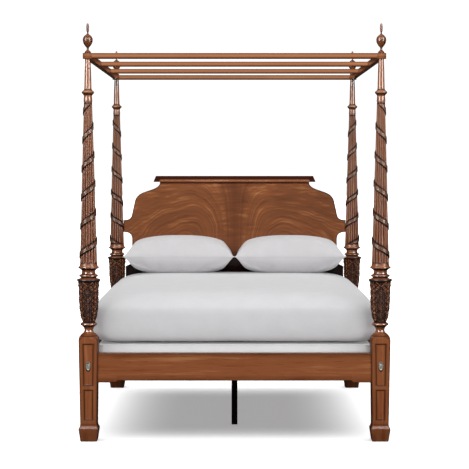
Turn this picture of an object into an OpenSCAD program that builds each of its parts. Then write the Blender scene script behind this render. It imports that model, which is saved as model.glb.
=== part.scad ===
// A four poster bed in miniature, at one twelfth of full size. All sizes are in millimetres.
// The origin is on the floor under the middle of the bed, up is +Z and the foot end faces -Y.

/* [Bed] */
// Distance between post centres, across the bed
post_span = 134; // [131:0.5:137]
// Distance between post centres, from foot to head
post_length = 177.6; // [175:0.2:181]

/* [Posts] */
// Half width of the square block at its top
block_half = 4.45; // [4.3:0.05:4.6]
// Half width of the square leg just above its spade foot
ankle_half = 3.81; // [3.7:0.01:3.9]
// Half width of the spade foot at its widest
foot_half = 4.53; // [4.3:0.01:4.8]
// Radius of the vase at its rim
vase_rim_r = 5.37; // [5.2:0.01:5.6]
// Radius of the tapered shaft at its foot
shaft_foot_r = 3.98; // [3.8:0.02:4.1]
// Radius of the tapered shaft at its top
shaft_top_r = 1.9; // [1.7:0.05:2.1]
// Height of the top of a post, where the tester rests
post_top = 175.4; // [172:0.2:178]

/* [Rails] */
// Height of the underside of the rails
rail_bottom = 27.8; // [27:0.1:28]
// Depth of the rails, top to bottom
rail_height = 12.8; // [12.4:0.1:13]
// Thickness of the rails
rail_thick = 3; // [2.6:0.1:3.2]
// How far the foot rail's ends reach below its middle
rail_drop = 0.9; // [0.5:0.1:1.4]

/* [Headboard] */
// Thickness of the headboard panel
panel_thick = 2; // [1.6:0.1:2.2]
// Height of the underside of the cap moulding
cap_bottom = 117.4; // [117:0.2:119]
// Height of the cap moulding
cap_height = 3.4; // [3:0.1:4]

/* [Tester] */
// Width of a tester rail
tester_width = 2.6; // [2.2:0.1:3]
// Height of a tester rail
tester_height = 2.6; // [2.4:0.2:3]
// Radius of the round eyes at the tester's corners
eye_r = 2.3; // [2:0.1:2.6]

/* [Bedding] */
// Half width of the mattress
mattress_half = 65; // [62:0.5:66]
// Height of the mattress where it is crowned
mattress_crown = 69.2; // [68:0.2:69.2]
// Width of a pillow
pillow_width = 61.4; // [56:0.2:62]
// Depth of a pillow, front to back
pillow_depth = 41; // [36:0.5:42]
// Thickness of a pillow
pillow_thick = 20.6; // [16:0.2:22]

/* [Hidden] */
$fn = 48;
LEFT = -1;
RIGHT = 1;
FOOT = -1;
HEAD = 1;
// Gap between parts that slide or turn on each other, and around glued and bolted joints
clearance = 0.05;
// How far a cutting shape runs past the face that it cuts
overcut = 0.5;

post_x = post_span / 2;
post_y = post_length / 2;

// Square leg and turned neck
ankle_z = 8.3;
block_top = 46.5;
shoulder_top = 49.3;
vase_foot = 54.8;
vase_rim = 74.3;
neck_r = 3.1;
// The lower and upper halves of a post meet in the neck above the vase
neck_z = 77.6;
neck_tenon_r = 1.6;
neck_tenon_length = 6;
shaft_foot = 81.6;
shaft_top = 155.3;
// The sides of the leg lean inwards by this angle
leg_taper = atan((block_half - ankle_half) / (block_top - ankle_z));
shaft_slope = (shaft_foot_r - shaft_top_r) / (shaft_top - shaft_foot);

// Sunk panels in the outer faces of each leg
panel_sink = 0.4;
panel_border = 0.35;

// Rail joints
tenon_thick = 1.2;
tenon_depth = 2.5;
side_tenon_depth = 1.5;
tenon_inset = 1.2;
drop_length = 9.2;
rail_top = rail_bottom + rail_height;

// Bed bolts, their nuts and the oval covers over them
bolt_z = 34.6;
bolt_r = 0.4;
bolt_head_r = 0.8;
bolt_length = 14;
nut_r = 0.9;
nut_length = 2;
cover_width = 2.2;
cover_height = 4.2;
cover_z = 35;
cover_thick = 0.45;
cover_rim_thick = 0.27;
cover_bevel = 0.2;
cover_pivot_z = 36.6;
cover_pin_r = 0.2;
cover_pin_head_r = 0.38;
cover_pin_head = 0.22;
cover_gap = 0.1;

// Slats, the cleats that carry them and the legs under the middle
cleat_width = 2;
cleat_height = 1.5;
cleat_bottom = 29.3;
slat_width = 6;
slat_thick = 1.6;
slat_pitch = 21.15;
leg_width = 2.9;
screw_r = 0.2;
screw_head_r = 0.42;
slat_bottom = cleat_bottom + cleat_height;
slat_top = slat_bottom + slat_thick;
cleat_inner = post_x - rail_thick / 2 - cleat_width;
slat_screw_x = cleat_inner + cleat_width / 2;
leg_rows = [-2, 0, 2];

// Headboard outline, from the middle outwards
crest_half = 42.5;
waist_half = 58.4;
ear_top = 95.7;
ear_bottom = 88.9;
window_bottom = 69.4;
panel_side = post_x - 4.9;
ear_tenon = [1.6, 1, 4.6];

// Tester
slat_offset = post_length / 6;
tester_dowel_r = 0.6;
tester_dowel_length = 1.1;
tester_top = post_top + tester_height;
lap_z = post_top + tester_height / 2;
finial_pin_r = 0.4;
finial_pin_low = post_top - 8;
finial_pin_high = tester_top + 3;

// Bedding
foundation_half = post_x - 3.6;
foundation_half_length = post_y - block_half - 0.35;
foundation_top = 44;
mattress_bottom = 44.1;
mattress_half_length = post_y - 3.6;
mattress_corner_r = 9;
mattress_edge_r = 7;
mattress_edge_top = 65.8;
pillow_y = post_y - 24.6;
pillow_rest = 67.5;
pillow_z = pillow_rest + pillow_thick / 2;

// ---- Curves and helpers ----

// Points along a cubic curve from a to d, steered by b and c. The first point is left out.
function curve(a, b, c, d, steps = 8) = [
    for (i = [1 : steps])
        let (t = i / steps, s = 1 - t)
        s * s * s * a + 3 * s * s * t * b + 3 * s * t * t * c + t * t * t * d
];

// Points along a half round bead of radius r that stands out from radius x0, centred at height z
function bead(x0, z, r, steps = 6) = [
    for (i = [0 : steps])
        let (a = -90 + 180 * i / steps)
        [x0 + r * cos(a), z + r * sin(a)]
];

// An outline and its mirror image in x, joined into one closed shape
function both_sides(points) = concat(
    points,
    [for (i = [len(points) - 1 : -1 : 0]) [-points[i].x, points[i].y]]
);

function leg_half_at(z) = ankle_half + (z - ankle_z) * tan(leg_taper);
function shaft_r_at(z) = shaft_foot_r - (z - shaft_foot) * shaft_slope;

// Places the front left corner's shapes at the corner asked for, turned to face outwards there
module at_corner(side, end) {
    mirror([side == RIGHT ? 1 : 0, 0, 0])
        mirror([0, end == HEAD ? 1 : 0, 0])
            translate([-post_x, -post_y, 0])
                children();
}

module at_all_corners() {
    for (side = [LEFT, RIGHT])
        for (end = [FOOT, HEAD])
            at_corner(side, end)
                children();
}

module box(low, high) {
    translate(low)
        cube(high - low);
}

// A countersunk screw that points down, with the top of its head at z = 0
module screw(length) {
    rotate_extrude()
        polygon([
            [0, 0],
            [screw_head_r, 0],
            [screw_r, screw_r - screw_head_r],
            [screw_r, -length],
            [0, -length]
        ]);
}

// The hole for that screw
module screw_hole(length) {
    rotate_extrude()
        polygon([
            [0, overcut],
            [screw_head_r + clearance, overcut],
            [screw_head_r + clearance, -clearance],
            [screw_r + clearance, screw_r - screw_head_r - clearance],
            [screw_r + clearance, -length - clearance],
            [0, -length - clearance]
        ]);
}

// ---- Posts ----

function leg_outline() = both_sides(concat(
    [[3.75, 0], [foot_half, 5.6]],
    curve([foot_half, 5.6], [foot_half, 6.6], [ankle_half, 6.4], [ankle_half, ankle_z], 5),
    [[block_half, block_top], [block_half, shoulder_top]]
));

// The lathe's shoulder over the square block, neck ring, carved vase and the band over it
function lower_turning() = concat(
    [[0, 0], [7, 0], [7, 46]],
    [[6.4, 46]],
    curve([6.4, 46], [5.2, 46.6], [4.3, 47.6], [3.49, shoulder_top]),
    curve([2.95, 49.7], [2.4, 50.2], [2.1, 51.5], [2.75, 52.8], 6),
    bead(3, 53.9, 0.66),
    curve([3.17, vase_foot], [4.9, 60], [4.1, 69], [vase_rim_r, vase_rim], 12),
    [[vase_rim_r, vase_rim + 0.3], [3.7, 75.1], [3.5, 75.5]],
    bead(3.6, 76.2, 0.5),
    curve([3.5, 76.8], [3.2, 77], [neck_r, 77.3], [neck_r, neck_z], 3),
    [[0, neck_z]]
);

// The leg is square in both directions, and the lathe's profile rounds it above the block
module lower_post_blank() {
    intersection() {
        rotate_extrude()
            polygon(lower_turning());
        union() {
            intersection() {
                translate([0, 7, 0])
                    rotate([90, 0, 0])
                        linear_extrude(14)
                            polygon(leg_outline());
                rotate([0, 0, 90])
                    translate([0, 7, 0])
                        rotate([90, 0, 0])
                            linear_extrude(14)
                                polygon(leg_outline());
            }
            translate([0, 0, shoulder_top - 0.01])
                cylinder(h = neck_z - shoulder_top + 0.01, r = 6);
        }
    }
}

// Cuts one sunk panel, with a stepped border, into the face that looks along -Y
module sunk_panel(z_low, z_high) {
    margin = 1.9;
    for (step = [0, 1]) {
        inset = step * panel_border;
        low_half = leg_half_at(z_low) - margin - inset;
        high_half = leg_half_at(z_high) - margin - inset;
        translate([0, -leg_half_at(0), 0])
            rotate([leg_taper, 0, 0])
                translate([0, panel_sink * (1 + step) / 2, 0])
                    rotate([90, 0, 0])
                        linear_extrude(3)
                            polygon(both_sides([[low_half, z_low + inset], [high_half, z_high - inset]]));
    }
}

module leg_panels() {
    for (turn = [0, -90])
        rotate([0, 0, turn]) {
            sunk_panel(9.9, 24);
            sunk_panel(25.8, 45.2);
        }
}

module lower_post(side, end) {
    color("sienna")
        at_corner(side, end)
            difference() {
                lower_post_blank();
                leg_panels();
                // Socket for the upper half's tenon
                translate([0, 0, neck_z - neck_tenon_length - 0.3])
                    cylinder(h = neck_tenon_length + overcut + 0.3, r = neck_tenon_r + clearance);
                cross_rail_mortise();
                side_rail_mortise();
                bed_bolt_bore();
                cover_pin_bore();
                if (end == HEAD)
                    panel_mortise();
            }
}

function upper_turning() = concat(
    [[0, neck_z], [neck_r, neck_z]],
    curve([neck_r, 78.2], [neck_r, 78.8], [3.6, 79], [4.1, 79.4], 4),
    bead(4.2, 80, 0.46),
    [[4.12, 80.7], [4.12, 81.2], [shaft_foot_r, shaft_foot]],
    [[shaft_top_r, shaft_top], [1.82, 155.5], [1.99, 156]],
    curve([1.99, 156], [1.99, 157.4], [1.82, 157.6], [1.82, 158.6], 4),
    curve([2.1, 159.2], [2.6, 159.4], [2.85, 159.8], [2.85, 160.3], 4),
    curve([2.85, 160.3], [2.4, 160.8], [1.65, 161], [1.65, 162], 5),
    [[1.45, 170], [1.22, post_top], [0, post_top]]
);

module upper_post(side, end) {
    color("sienna")
        at_corner(side, end)
            difference() {
                union() {
                    rotate_extrude()
                        polygon(upper_turning());
                    translate([0, 0, neck_z - neck_tenon_length])
                        cylinder(h = neck_tenon_length + 1, r = neck_tenon_r);
                }
                // Bore for the finial's pin
                translate([0, 0, finial_pin_low - 0.3])
                    cylinder(h = post_top, r = finial_pin_r + clearance);
                if (end == HEAD)
                    ear_mortise();
            }
}

// ---- Finials ----

// A small foot, an egg and a bud, turned in one piece
function finial_turning() = let (z = tester_top) concat(
    [[0, z], [1.45, z]],
    curve([1.45, z + 0.4], [1.1, z + 1.2], [0.47, z + 1], [0.47, z + 2], 5),
    curve([0.47, z + 2.4], [1.2, z + 3.2], [2.28, z + 4.2], [2.28, z + 6], 7),
    curve([2.28, z + 6], [2.28, z + 7.4], [1.3, z + 8], [0.95, z + 8.3], 5),
    curve([0.95, z + 8.3], [0.5, z + 8.6], [0.3, z + 8.9], [0.3, z + 9.3], 3),
    curve([0.3, z + 9.3], [0.75, z + 10], [0.75, z + 12.2], [0.45, z + 13.3], 6),
    [[0, z + 13.5]]
);

module finial(side, end) {
    color("sienna")
        at_corner(side, end)
            difference() {
                rotate_extrude()
                    polygon(finial_turning());
                translate([0, 0, tester_top - overcut])
                    cylinder(h = finial_pin_high - tester_top + overcut, r = finial_pin_r);
            }
}

module finial_pin(side, end) {
    color("silver")
        at_corner(side, end)
            translate([0, 0, finial_pin_low])
                cylinder(h = finial_pin_high - finial_pin_low, r = finial_pin_r);
}

// ---- Rails ----

// The tenon on the left end of a rail that runs across the bed, in the front left corner's place
module cross_tenon(gap) {
    box(
        [leg_half_at(rail_top) - 2 * overcut, -tenon_thick / 2 - gap, rail_bottom + tenon_inset - gap],
        [leg_half_at(rail_top) + overcut, tenon_thick / 2 + gap, rail_top - tenon_inset + gap]
    );
}

module cross_rail_mortise() {
    half_width = tenon_thick / 2 + clearance;
    low = rail_bottom + tenon_inset - clearance;
    high = rail_top - tenon_inset + clearance;
    box(
        [leg_half_at(rail_bottom) - tenon_depth, -half_width, low],
        [block_half + overcut, half_width, high]
    );
}

// Outline of a rail that runs across the bed. Its ends follow the slope of the square legs.
module cross_rail_outline(drop) {
    low_half = post_x - leg_half_at(rail_bottom - drop);
    high_half = post_x - leg_half_at(rail_top);
    step_half = low_half - drop_length;
    polygon(both_sides(concat(
        [[0, rail_top], [high_half, rail_top], [low_half, rail_bottom - drop]],
        [[step_half + 1, rail_bottom - drop]],
        curve([step_half + 1, rail_bottom - drop], [step_half + 0.3, rail_bottom - drop],
              [step_half + 0.6, rail_bottom], [step_half, rail_bottom], 4)
    )));
}

module cross_rail(end, drop) {
    tenon_half = post_x - leg_half_at(rail_bottom) + tenon_depth - 0.1;
    color("sienna")
        translate([0, end * post_y, 0])
            union() {
                translate([0, rail_thick / 2, 0])
                    rotate([90, 0, 0])
                        linear_extrude(rail_thick)
                            cross_rail_outline(drop);
                box(
                    [-tenon_half, -tenon_thick / 2, rail_bottom + tenon_inset],
                    [tenon_half, tenon_thick / 2, rail_top - tenon_inset]
                );
            }
}

module foot_rail() {
    cross_rail(FOOT, rail_drop);
}

module head_rail() {
    cross_rail(HEAD, 0.2);
}

module side_rail_mortise() {
    half_width = tenon_thick / 2 + clearance;
    low = rail_bottom + tenon_inset - clearance;
    high = rail_top - tenon_inset + clearance;
    box(
        [-half_width, leg_half_at(rail_bottom) - side_tenon_depth, low],
        [half_width, block_half + overcut, high]
    );
}

module side_rail(side) {
    low_half = post_y - leg_half_at(rail_bottom);
    high_half = post_y - leg_half_at(rail_top);
    tenon_half = low_half + side_tenon_depth - 0.1;
    color("sienna")
        difference() {
            translate([side * post_x, 0, 0])
                union() {
                    translate([-rail_thick / 2, 0, 0])
                        rotate([90, 0, 90])
                            linear_extrude(rail_thick)
                                polygon(both_sides([[low_half, rail_bottom], [high_half, rail_top]]));
                    box(
                        [-tenon_thick / 2, -tenon_half, rail_bottom + tenon_inset],
                        [tenon_thick / 2, tenon_half, rail_top - tenon_inset]
                    );
                }
            for (end = [FOOT, HEAD])
                at_corner(side, end) {
                    bed_bolt_bore();
                    nut_pocket();
                }
            for (row = [-2.5 : 2.5])
                translate([side * cleat_inner, row * slat_pitch, cleat_bottom + cleat_height / 2])
                    rotate([0, -90 * side, 0])
                        screw_hole(cleat_width + 1.2);
        }
}

// ---- Bolts and their covers ----

// In the front left corner's place a bolt runs along +Y, from under the cover into the side rail
bolt_seat_y = -leg_half_at(bolt_z) + panel_sink;

module bed_bolt_bore() {
    translate([0, bolt_seat_y - overcut, bolt_z])
        rotate([-90, 0, 0])
            cylinder(h = bolt_length + overcut + clearance, r = bolt_r + clearance);
}

module nut_pocket() {
    translate([-nut_length / 2 - clearance, nut_y(), bolt_z])
        rotate([0, 90, 0])
            cylinder(h = rail_thick, r = nut_r + clearance);
}

function nut_y() = bolt_seat_y + bolt_length - 1.6;

module bed_bolts() {
    color("silver")
        at_all_corners()
            translate([0, bolt_seat_y, bolt_z])
                rotate([-90, 0, 0]) {
                    cylinder(h = bolt_length, r = bolt_r);
                    translate([0, 0, -panel_sink])
                        cylinder(h = panel_sink, r = bolt_head_r);
                }
}

module barrel_nuts() {
    color("silver")
        at_all_corners()
            difference() {
                translate([-nut_length / 2, nut_y(), bolt_z])
                    rotate([0, 90, 0])
                        cylinder(h = nut_length, r = nut_r);
                bed_bolt_bore();
            }
}

// The cover hangs from its pin just clear of the leg's face, so that it can swing aside
cover_back_y = -leg_half_at(cover_pivot_z + cover_height) - clearance;
cover_face_y = cover_back_y - cover_thick;

module cover_pin_bore() {
    translate([0, cover_back_y, cover_pivot_z])
        rotate([-90, 0, 0])
            cylinder(h = 3, r = cover_pin_r);
}

module cover_pins() {
    color("silver")
        at_all_corners()
            translate([0, 0, cover_pivot_z])
                rotate([90, 0, 0]) {
                    translate([0, 0, -cover_back_y - 2.9])
                        cylinder(h = 2.9 + cover_thick + cover_gap, r = cover_pin_r);
                    translate([0, 0, -cover_face_y + cover_gap])
                        cylinder(h = cover_pin_head, r = cover_pin_head_r);
                }
}

// An oval plate, flat at the back, with a bevelled face
module bolt_cover(side, end) {
    color("lightgray")
        at_corner(side, end)
            difference() {
                union() {
                    translate([0, cover_back_y, cover_z])
                        rotate([90, 0, 0])
                            linear_extrude(cover_rim_thick)
                                oval(cover_width / 2, cover_height / 2);
                    translate([0, cover_back_y, cover_z])
                        rotate([90, 0, 0])
                            linear_extrude(cover_thick)
                                oval(cover_width / 2 - cover_bevel, cover_height / 2 - cover_bevel);
                }
                translate([0, cover_back_y + overcut, cover_pivot_z])
                    rotate([90, 0, 0])
                        cylinder(h = cover_thick + 2 * overcut, r = cover_pin_r + clearance);
            }
}

module oval(half_width, half_height) {
    polygon([for (a = [0 : 12 : 348]) [half_width * cos(a), half_height * sin(a)]]);
}

// ---- Slats and legs ----

module cleat(side) {
    half_length = post_y - block_half - 0.4;
    color("burlywood")
        difference() {
            box(
                [side * (cleat_inner + cleat_width / 2) - cleat_width / 2, -half_length, cleat_bottom],
                [side * (cleat_inner + cleat_width / 2) + cleat_width / 2, half_length, slat_bottom]
            );
            for (row = [-2.5 : 2.5])
                translate([side * cleat_inner, row * slat_pitch, cleat_bottom + cleat_height / 2])
                    rotate([0, -90 * side, 0])
                        screw_hole(cleat_width + 1.2);
            for (row = [-3 : 3])
                translate([side * slat_screw_x, row * slat_pitch, slat_top])
                    screw_hole(slat_thick + 1);
        }
}

module cleat_screws() {
    color("silver")
        for (side = [LEFT, RIGHT])
            for (row = [-2.5 : 2.5])
                translate([side * cleat_inner, row * slat_pitch, cleat_bottom + cleat_height / 2])
                    rotate([0, -90 * side, 0])
                        screw(cleat_width + 1.2);
}

module slat(row) {
    half_length = post_x - rail_thick / 2 - 0.2;
    color("burlywood")
        translate([0, row * slat_pitch, 0])
            difference() {
                box([-half_length, -slat_width / 2, slat_bottom], [half_length, slat_width / 2, slat_top]);
                for (x = [-slat_screw_x, slat_screw_x])
                    translate([x, 0, slat_top])
                        screw_hole(slat_thick + 1);
                if (len(search(row, leg_rows)) > 0)
                    translate([0, 0, slat_top])
                        screw_hole(slat_thick + 3);
            }
}

module slat_screws() {
    color("silver")
        for (row = [-3 : 3])
            for (x = [-slat_screw_x, slat_screw_x])
                translate([x, row * slat_pitch, slat_top])
                    screw(slat_thick + 1);
}

module centre_leg(row) {
    color("black")
        translate([0, row * slat_pitch, 0])
            difference() {
                box([-leg_width / 2, -leg_width / 2, 0], [leg_width / 2, leg_width / 2, slat_bottom]);
                translate([0, 0, slat_top])
                    screw_hole(slat_thick + 3);
            }
}

module leg_screws() {
    color("silver")
        for (row = leg_rows)
            translate([0, row * slat_pitch, slat_top])
                screw(slat_thick + 3);
}

// ---- Headboard ----

// Half of the panel's outline: crest, shoulder, ear on the post, window, and the base between the posts
function headboard_side() = concat(
    [[crest_half, cap_bottom + 0.8], [crest_half, cap_bottom - 1]],
    curve([crest_half, cap_bottom - 1], [crest_half + 1.6, 112.8],
          [waist_half - 2.2, 113.6], [waist_half - 1.6, 108]),
    [[waist_half, 99]],
    curve([waist_half, 99], [waist_half + 0.3, 96.8], [waist_half + 1.6, ear_top], [ear_end(), ear_top], 5),
    [[ear_end(), ear_bottom]],
    curve([ear_end(), ear_bottom], [waist_half + 1.4, ear_bottom - 0.2],
          [waist_half + 0.1, 87.6], [waist_half, 85], 5),
    [[waist_half, 74]],
    curve([waist_half, 74], [waist_half, 71.6], [waist_half + 0.8, 70.6], [waist_half + 1.8, 70.3], 4),
    [[panel_side, window_bottom], [panel_side, rail_top + 0.05]]
);

function ear_end() = post_x - shaft_r_at(ear_bottom) - clearance;

module headboard_panel() {
    color("saddlebrown")
        translate([0, post_y, 0])
            union() {
                translate([0, panel_thick / 2, 0])
                    rotate([90, 0, 0])
                        linear_extrude(panel_thick)
                            polygon(both_sides(headboard_side()));
                box(
                    [-ear_end() - ear_tenon.x, -ear_tenon.y / 2, ear_bottom + 1],
                    [ear_end() + ear_tenon.x, ear_tenon.y / 2, ear_bottom + 1 + ear_tenon.z]
                );
                box(
                    [-panel_side - tenon_depth, -tenon_thick / 2, rail_top + 0.6],
                    [panel_side + tenon_depth, tenon_thick / 2, block_top - 1]
                );
            }
}

// Both mortises are cut in the corner's own place, where the inner side faces +X
module ear_mortise() {
    box(
        [post_x - ear_end() - ear_tenon.x - 0.1, -ear_tenon.y / 2 - clearance, ear_bottom + 1 - clearance],
        [post_x - ear_end() + overcut, ear_tenon.y / 2 + clearance, ear_bottom + 1 + ear_tenon.z + clearance]
    );
}

module panel_mortise() {
    box(
        [post_x - panel_side - tenon_depth - 0.1, -tenon_thick / 2 - clearance, rail_top + 0.6 - clearance],
        [post_x - panel_side + overcut, tenon_thick / 2 + clearance, block_top - 1 + clearance]
    );
}

// Section of the cap: a sloping face under a square top edge, grooved below to take the panel
function cap_section(out) = concat(
    [[panel_thick / 2 + out, cap_bottom], [panel_thick / 2 + out, cap_bottom + 0.5]],
    curve([panel_thick / 2 + out, cap_bottom + 0.5], [panel_thick / 2 + out, cap_bottom + 1.4],
          [panel_thick / 2 + out - 0.9, cap_bottom + 1.6], [panel_thick / 2 + out - 1, cap_bottom + 1.8], 4),
    [[panel_thick / 2 + out - 1.1, cap_bottom + cap_height]]
);

module headboard_cap() {
    out = 1.9;
    end_half = 45.9;
    color("maroon")
        translate([0, post_y, 0])
            difference() {
                intersection() {
                    translate([-end_half, 0, 0])
                        rotate([90, 0, 90])
                            linear_extrude(2 * end_half)
                                polygon(both_sides(cap_section(out)));
                    translate([0, 5, 0])
                        rotate([90, 0, 0])
                            linear_extrude(10)
                                polygon(both_sides([
                                    [end_half, cap_bottom],
                                    [end_half, cap_bottom + 0.5],
                                    [end_half - 1.2, cap_bottom + cap_height]
                                ]));
                }
                box(
                    [-crest_half - clearance, -panel_thick / 2 - clearance, cap_bottom - overcut],
                    [crest_half + clearance, panel_thick / 2 + clearance, cap_bottom + 0.8 + clearance]
                );
            }
}

// ---- Tester ----

// Round eyes at both ends of a tester rail, drilled for the finial pins
module eye_bores(half_length) {
    for (y = [-half_length, half_length])
        translate([0, y, post_top - overcut])
            cylinder(h = tester_height + 2 * overcut, r = finial_pin_r + clearance);
}

// A rail that runs along Y, half as thick at its eyes. The eyes keep the lower or the upper half.
module tester_rail(half_length, cut_low) {
    difference() {
        union() {
            box([-tester_width / 2, -half_length, post_top], [tester_width / 2, half_length, tester_top]);
            for (y = [-half_length, half_length])
                translate([0, y, post_top])
                    cylinder(h = tester_height, r = eye_r);
        }
        for (y = [-half_length, half_length])
            translate([0, y, cut_low])
                cylinder(h = tester_height / 2 + overcut, r = eye_r + clearance);
        eye_bores(half_length);
    }
}

module tester_cross_rail(end) {
    color("sienna")
        translate([0, end * post_y, 0])
            rotate([0, 0, 90])
                tester_rail(post_x, lap_z - tester_height / 2 - overcut);
}

module tester_side_rail(side) {
    color("sienna")
        translate([side * post_x, 0, 0])
            difference() {
                tester_rail(post_y, lap_z);
                // Blind holes in the inner face for the slats' dowels
                for (y = [-slat_offset, slat_offset])
                    translate([0, y, lap_z])
                        rotate([0, -90 * side, 0])
                            cylinder(h = tester_width, r = tester_dowel_r + clearance);
            }
}

module tester_slat(row) {
    slat_half = post_x - tester_width / 2 - 0.02;
    color("sienna")
        translate([0, row * slat_offset, 0])
            union() {
                box([-slat_half, -1.2, post_top + 0.1], [slat_half, 1.2, tester_top - 0.1]);
                translate([-slat_half - tester_dowel_length, 0, lap_z])
                    rotate([0, 90, 0])
                        cylinder(h = 2 * (slat_half + tester_dowel_length), r = tester_dowel_r);
            }
}

// ---- Bedding ----

module rounded_plan(half_x, front, rear, r) {
    hull()
        for (x = [-half_x + r, half_x - r])
            for (y = [-front + r, rear - r])
                translate([x, y])
                    circle(r = r, $fn = 32);
}

module foundation() {
    color("white")
        translate([0, 0, slat_top + clearance])
            linear_extrude(foundation_top - slat_top - clearance)
                rounded_plan(foundation_half, foundation_half_length, foundation_half_length, 3);
}

// One rounded corner of the mattress, as a turned puck
module mattress_corner() {
    straight = mattress_corner_r - mattress_edge_r;
    rotate_extrude($fn = 32)
        union() {
            translate([0, mattress_bottom])
                square([mattress_corner_r - 2, 1]);
            translate([0, mattress_bottom + 2])
                square([mattress_corner_r, mattress_edge_top - mattress_edge_r - mattress_bottom - 2]);
            intersection() {
                translate([straight, mattress_edge_top - mattress_edge_r])
                    circle(r = mattress_edge_r, $fn = 32);
                translate([0, mattress_edge_top - mattress_edge_r])
                    square([mattress_corner_r, mattress_edge_r]);
            }
        }
}

module mattress() {
    color("gainsboro")
        hull() {
            for (x = [-1, 1])
                for (y = [-1, 1])
                    translate([
                        x * (mattress_half - mattress_corner_r),
                        y * (mattress_half_length - mattress_corner_r),
                        0
                    ])
                        mattress_corner();
            translate([0, 0, mattress_crown - 0.1])
                linear_extrude(0.1)
                    rounded_plan(38, 60, 18, 15);
        }
}

// Lens shaped, flat side by side, with its edge seam at half height
module pillow(side) {
    color("gainsboro")
        translate([side * (pillow_width / 2 + 0.3), pillow_y, pillow_z])
            hull()
                for (share = [-1 : 0.2 : 1])
                    let (spread = 0.3 + 0.7 * sqrt(1 - share * share))
                    translate([0, 0, share * (pillow_thick / 2 - 0.05) - 0.05])
                        linear_extrude(0.1)
                            rounded_plan(spread * pillow_width / 2, spread * pillow_depth / 2,
                                         spread * pillow_depth / 2, 6 * spread);
}

lower_post(LEFT, FOOT);  // lower_post_front_left
lower_post(RIGHT, FOOT);  // lower_post_front_right
lower_post(LEFT, HEAD);  // lower_post_rear_left
lower_post(RIGHT, HEAD);  // lower_post_rear_right
upper_post(LEFT, FOOT);  // upper_post_front_left
upper_post(RIGHT, FOOT);  // upper_post_front_right
upper_post(LEFT, HEAD);  // upper_post_rear_left
upper_post(RIGHT, HEAD);  // upper_post_rear_right
finial(LEFT, FOOT);  // finial_front_left
finial(RIGHT, FOOT);  // finial_front_right
finial(LEFT, HEAD);  // finial_rear_left
finial(RIGHT, HEAD);  // finial_rear_right
finial_pin(LEFT, FOOT);  // finial_pin_front_left
finial_pin(RIGHT, FOOT);  // finial_pin_front_right
finial_pin(LEFT, HEAD);  // finial_pin_rear_left
finial_pin(RIGHT, HEAD);  // finial_pin_rear_right
foot_rail();
head_rail();
side_rail(LEFT);  // side_rail_left
side_rail(RIGHT);  // side_rail_right
headboard_panel();
headboard_cap();
tester_cross_rail(FOOT);  // tester_rail_front
tester_cross_rail(HEAD);  // tester_rail_rear
tester_side_rail(LEFT);  // tester_rail_left
tester_side_rail(RIGHT);  // tester_rail_right
tester_slat(FOOT);  // tester_slat_front
tester_slat(HEAD);  // tester_slat_rear
cleat(LEFT);  // cleat_left
cleat(RIGHT);  // cleat_right
slat(-3);  // slat_1
slat(-2);  // slat_2
slat(-1);  // slat_3
slat(0);  // slat_4
slat(1);  // slat_5
slat(2);  // slat_6
slat(3);  // slat_7
centre_leg(-2);  // centre_leg_front
centre_leg(0);  // centre_leg_middle
centre_leg(2);  // centre_leg_rear
bolt_cover(LEFT, FOOT);  // bolt_cover_front_left
bolt_cover(RIGHT, FOOT);  // bolt_cover_front_right
bolt_cover(LEFT, HEAD);  // bolt_cover_rear_left
bolt_cover(RIGHT, HEAD);  // bolt_cover_rear_right
cover_pins();
bed_bolts();
barrel_nuts();
slat_screws();
cleat_screws();
leg_screws();
foundation();
mattress();
pillow(LEFT);  // pillow_left
pillow(RIGHT);  // pillow_right
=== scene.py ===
"""Looks of the miniature four poster bed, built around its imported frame.

Shapes are worked out in millimetres and turned into metres when their mesh is made. The canonical
corner is the front left one, which faces -X and -Y; the other three are its mirror images.
"""

import math

import bmesh
import bpy
import numpy as np
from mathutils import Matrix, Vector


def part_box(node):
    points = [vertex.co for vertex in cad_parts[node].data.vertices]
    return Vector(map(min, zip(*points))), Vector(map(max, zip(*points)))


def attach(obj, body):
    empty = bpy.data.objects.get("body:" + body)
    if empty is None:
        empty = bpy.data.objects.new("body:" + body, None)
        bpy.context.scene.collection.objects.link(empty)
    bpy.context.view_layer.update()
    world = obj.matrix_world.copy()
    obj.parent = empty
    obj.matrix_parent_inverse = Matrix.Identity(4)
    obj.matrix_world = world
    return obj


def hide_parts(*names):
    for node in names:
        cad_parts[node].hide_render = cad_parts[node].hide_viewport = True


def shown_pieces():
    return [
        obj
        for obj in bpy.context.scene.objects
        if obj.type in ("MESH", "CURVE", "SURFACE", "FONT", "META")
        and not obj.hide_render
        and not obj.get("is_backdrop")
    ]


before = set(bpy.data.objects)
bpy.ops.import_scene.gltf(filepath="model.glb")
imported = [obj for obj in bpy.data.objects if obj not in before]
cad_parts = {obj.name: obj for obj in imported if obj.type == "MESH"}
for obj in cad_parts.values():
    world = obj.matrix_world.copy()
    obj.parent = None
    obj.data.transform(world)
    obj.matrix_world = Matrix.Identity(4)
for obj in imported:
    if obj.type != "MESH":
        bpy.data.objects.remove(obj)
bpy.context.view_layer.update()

MM = 0.001
TAU = 2 * math.pi


def box_mm(node):
    """Lowest and highest corner of a CAD node, in millimetres."""
    low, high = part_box(node)
    return np.array(low) / MM, np.array(high) / MM


def centre_mm(node):
    low, high = box_mm(node)
    return (low + high) / 2


# ---- Places, from the frame ----

# How each corner is mirrored, along X and Y
CORNERS = {
    f"{end}_{side}": (1 if side == "left" else -1, 1 if end == "front" else -1)
    for end in ("front", "rear")
    for side in ("left", "right")
}
post_high = box_mm("upper_post_front_left")[1]
post_centre = centre_mm("upper_post_front_left")
rail_low, rail_high = box_mm("foot_rail")
side_low = box_mm("side_rail_left")[0]
panel_low, panel_high = box_mm("headboard_panel")
cap_low, cap_high = box_mm("headboard_cap")
finial_low, finial_high = box_mm("finial_front_left")

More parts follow.
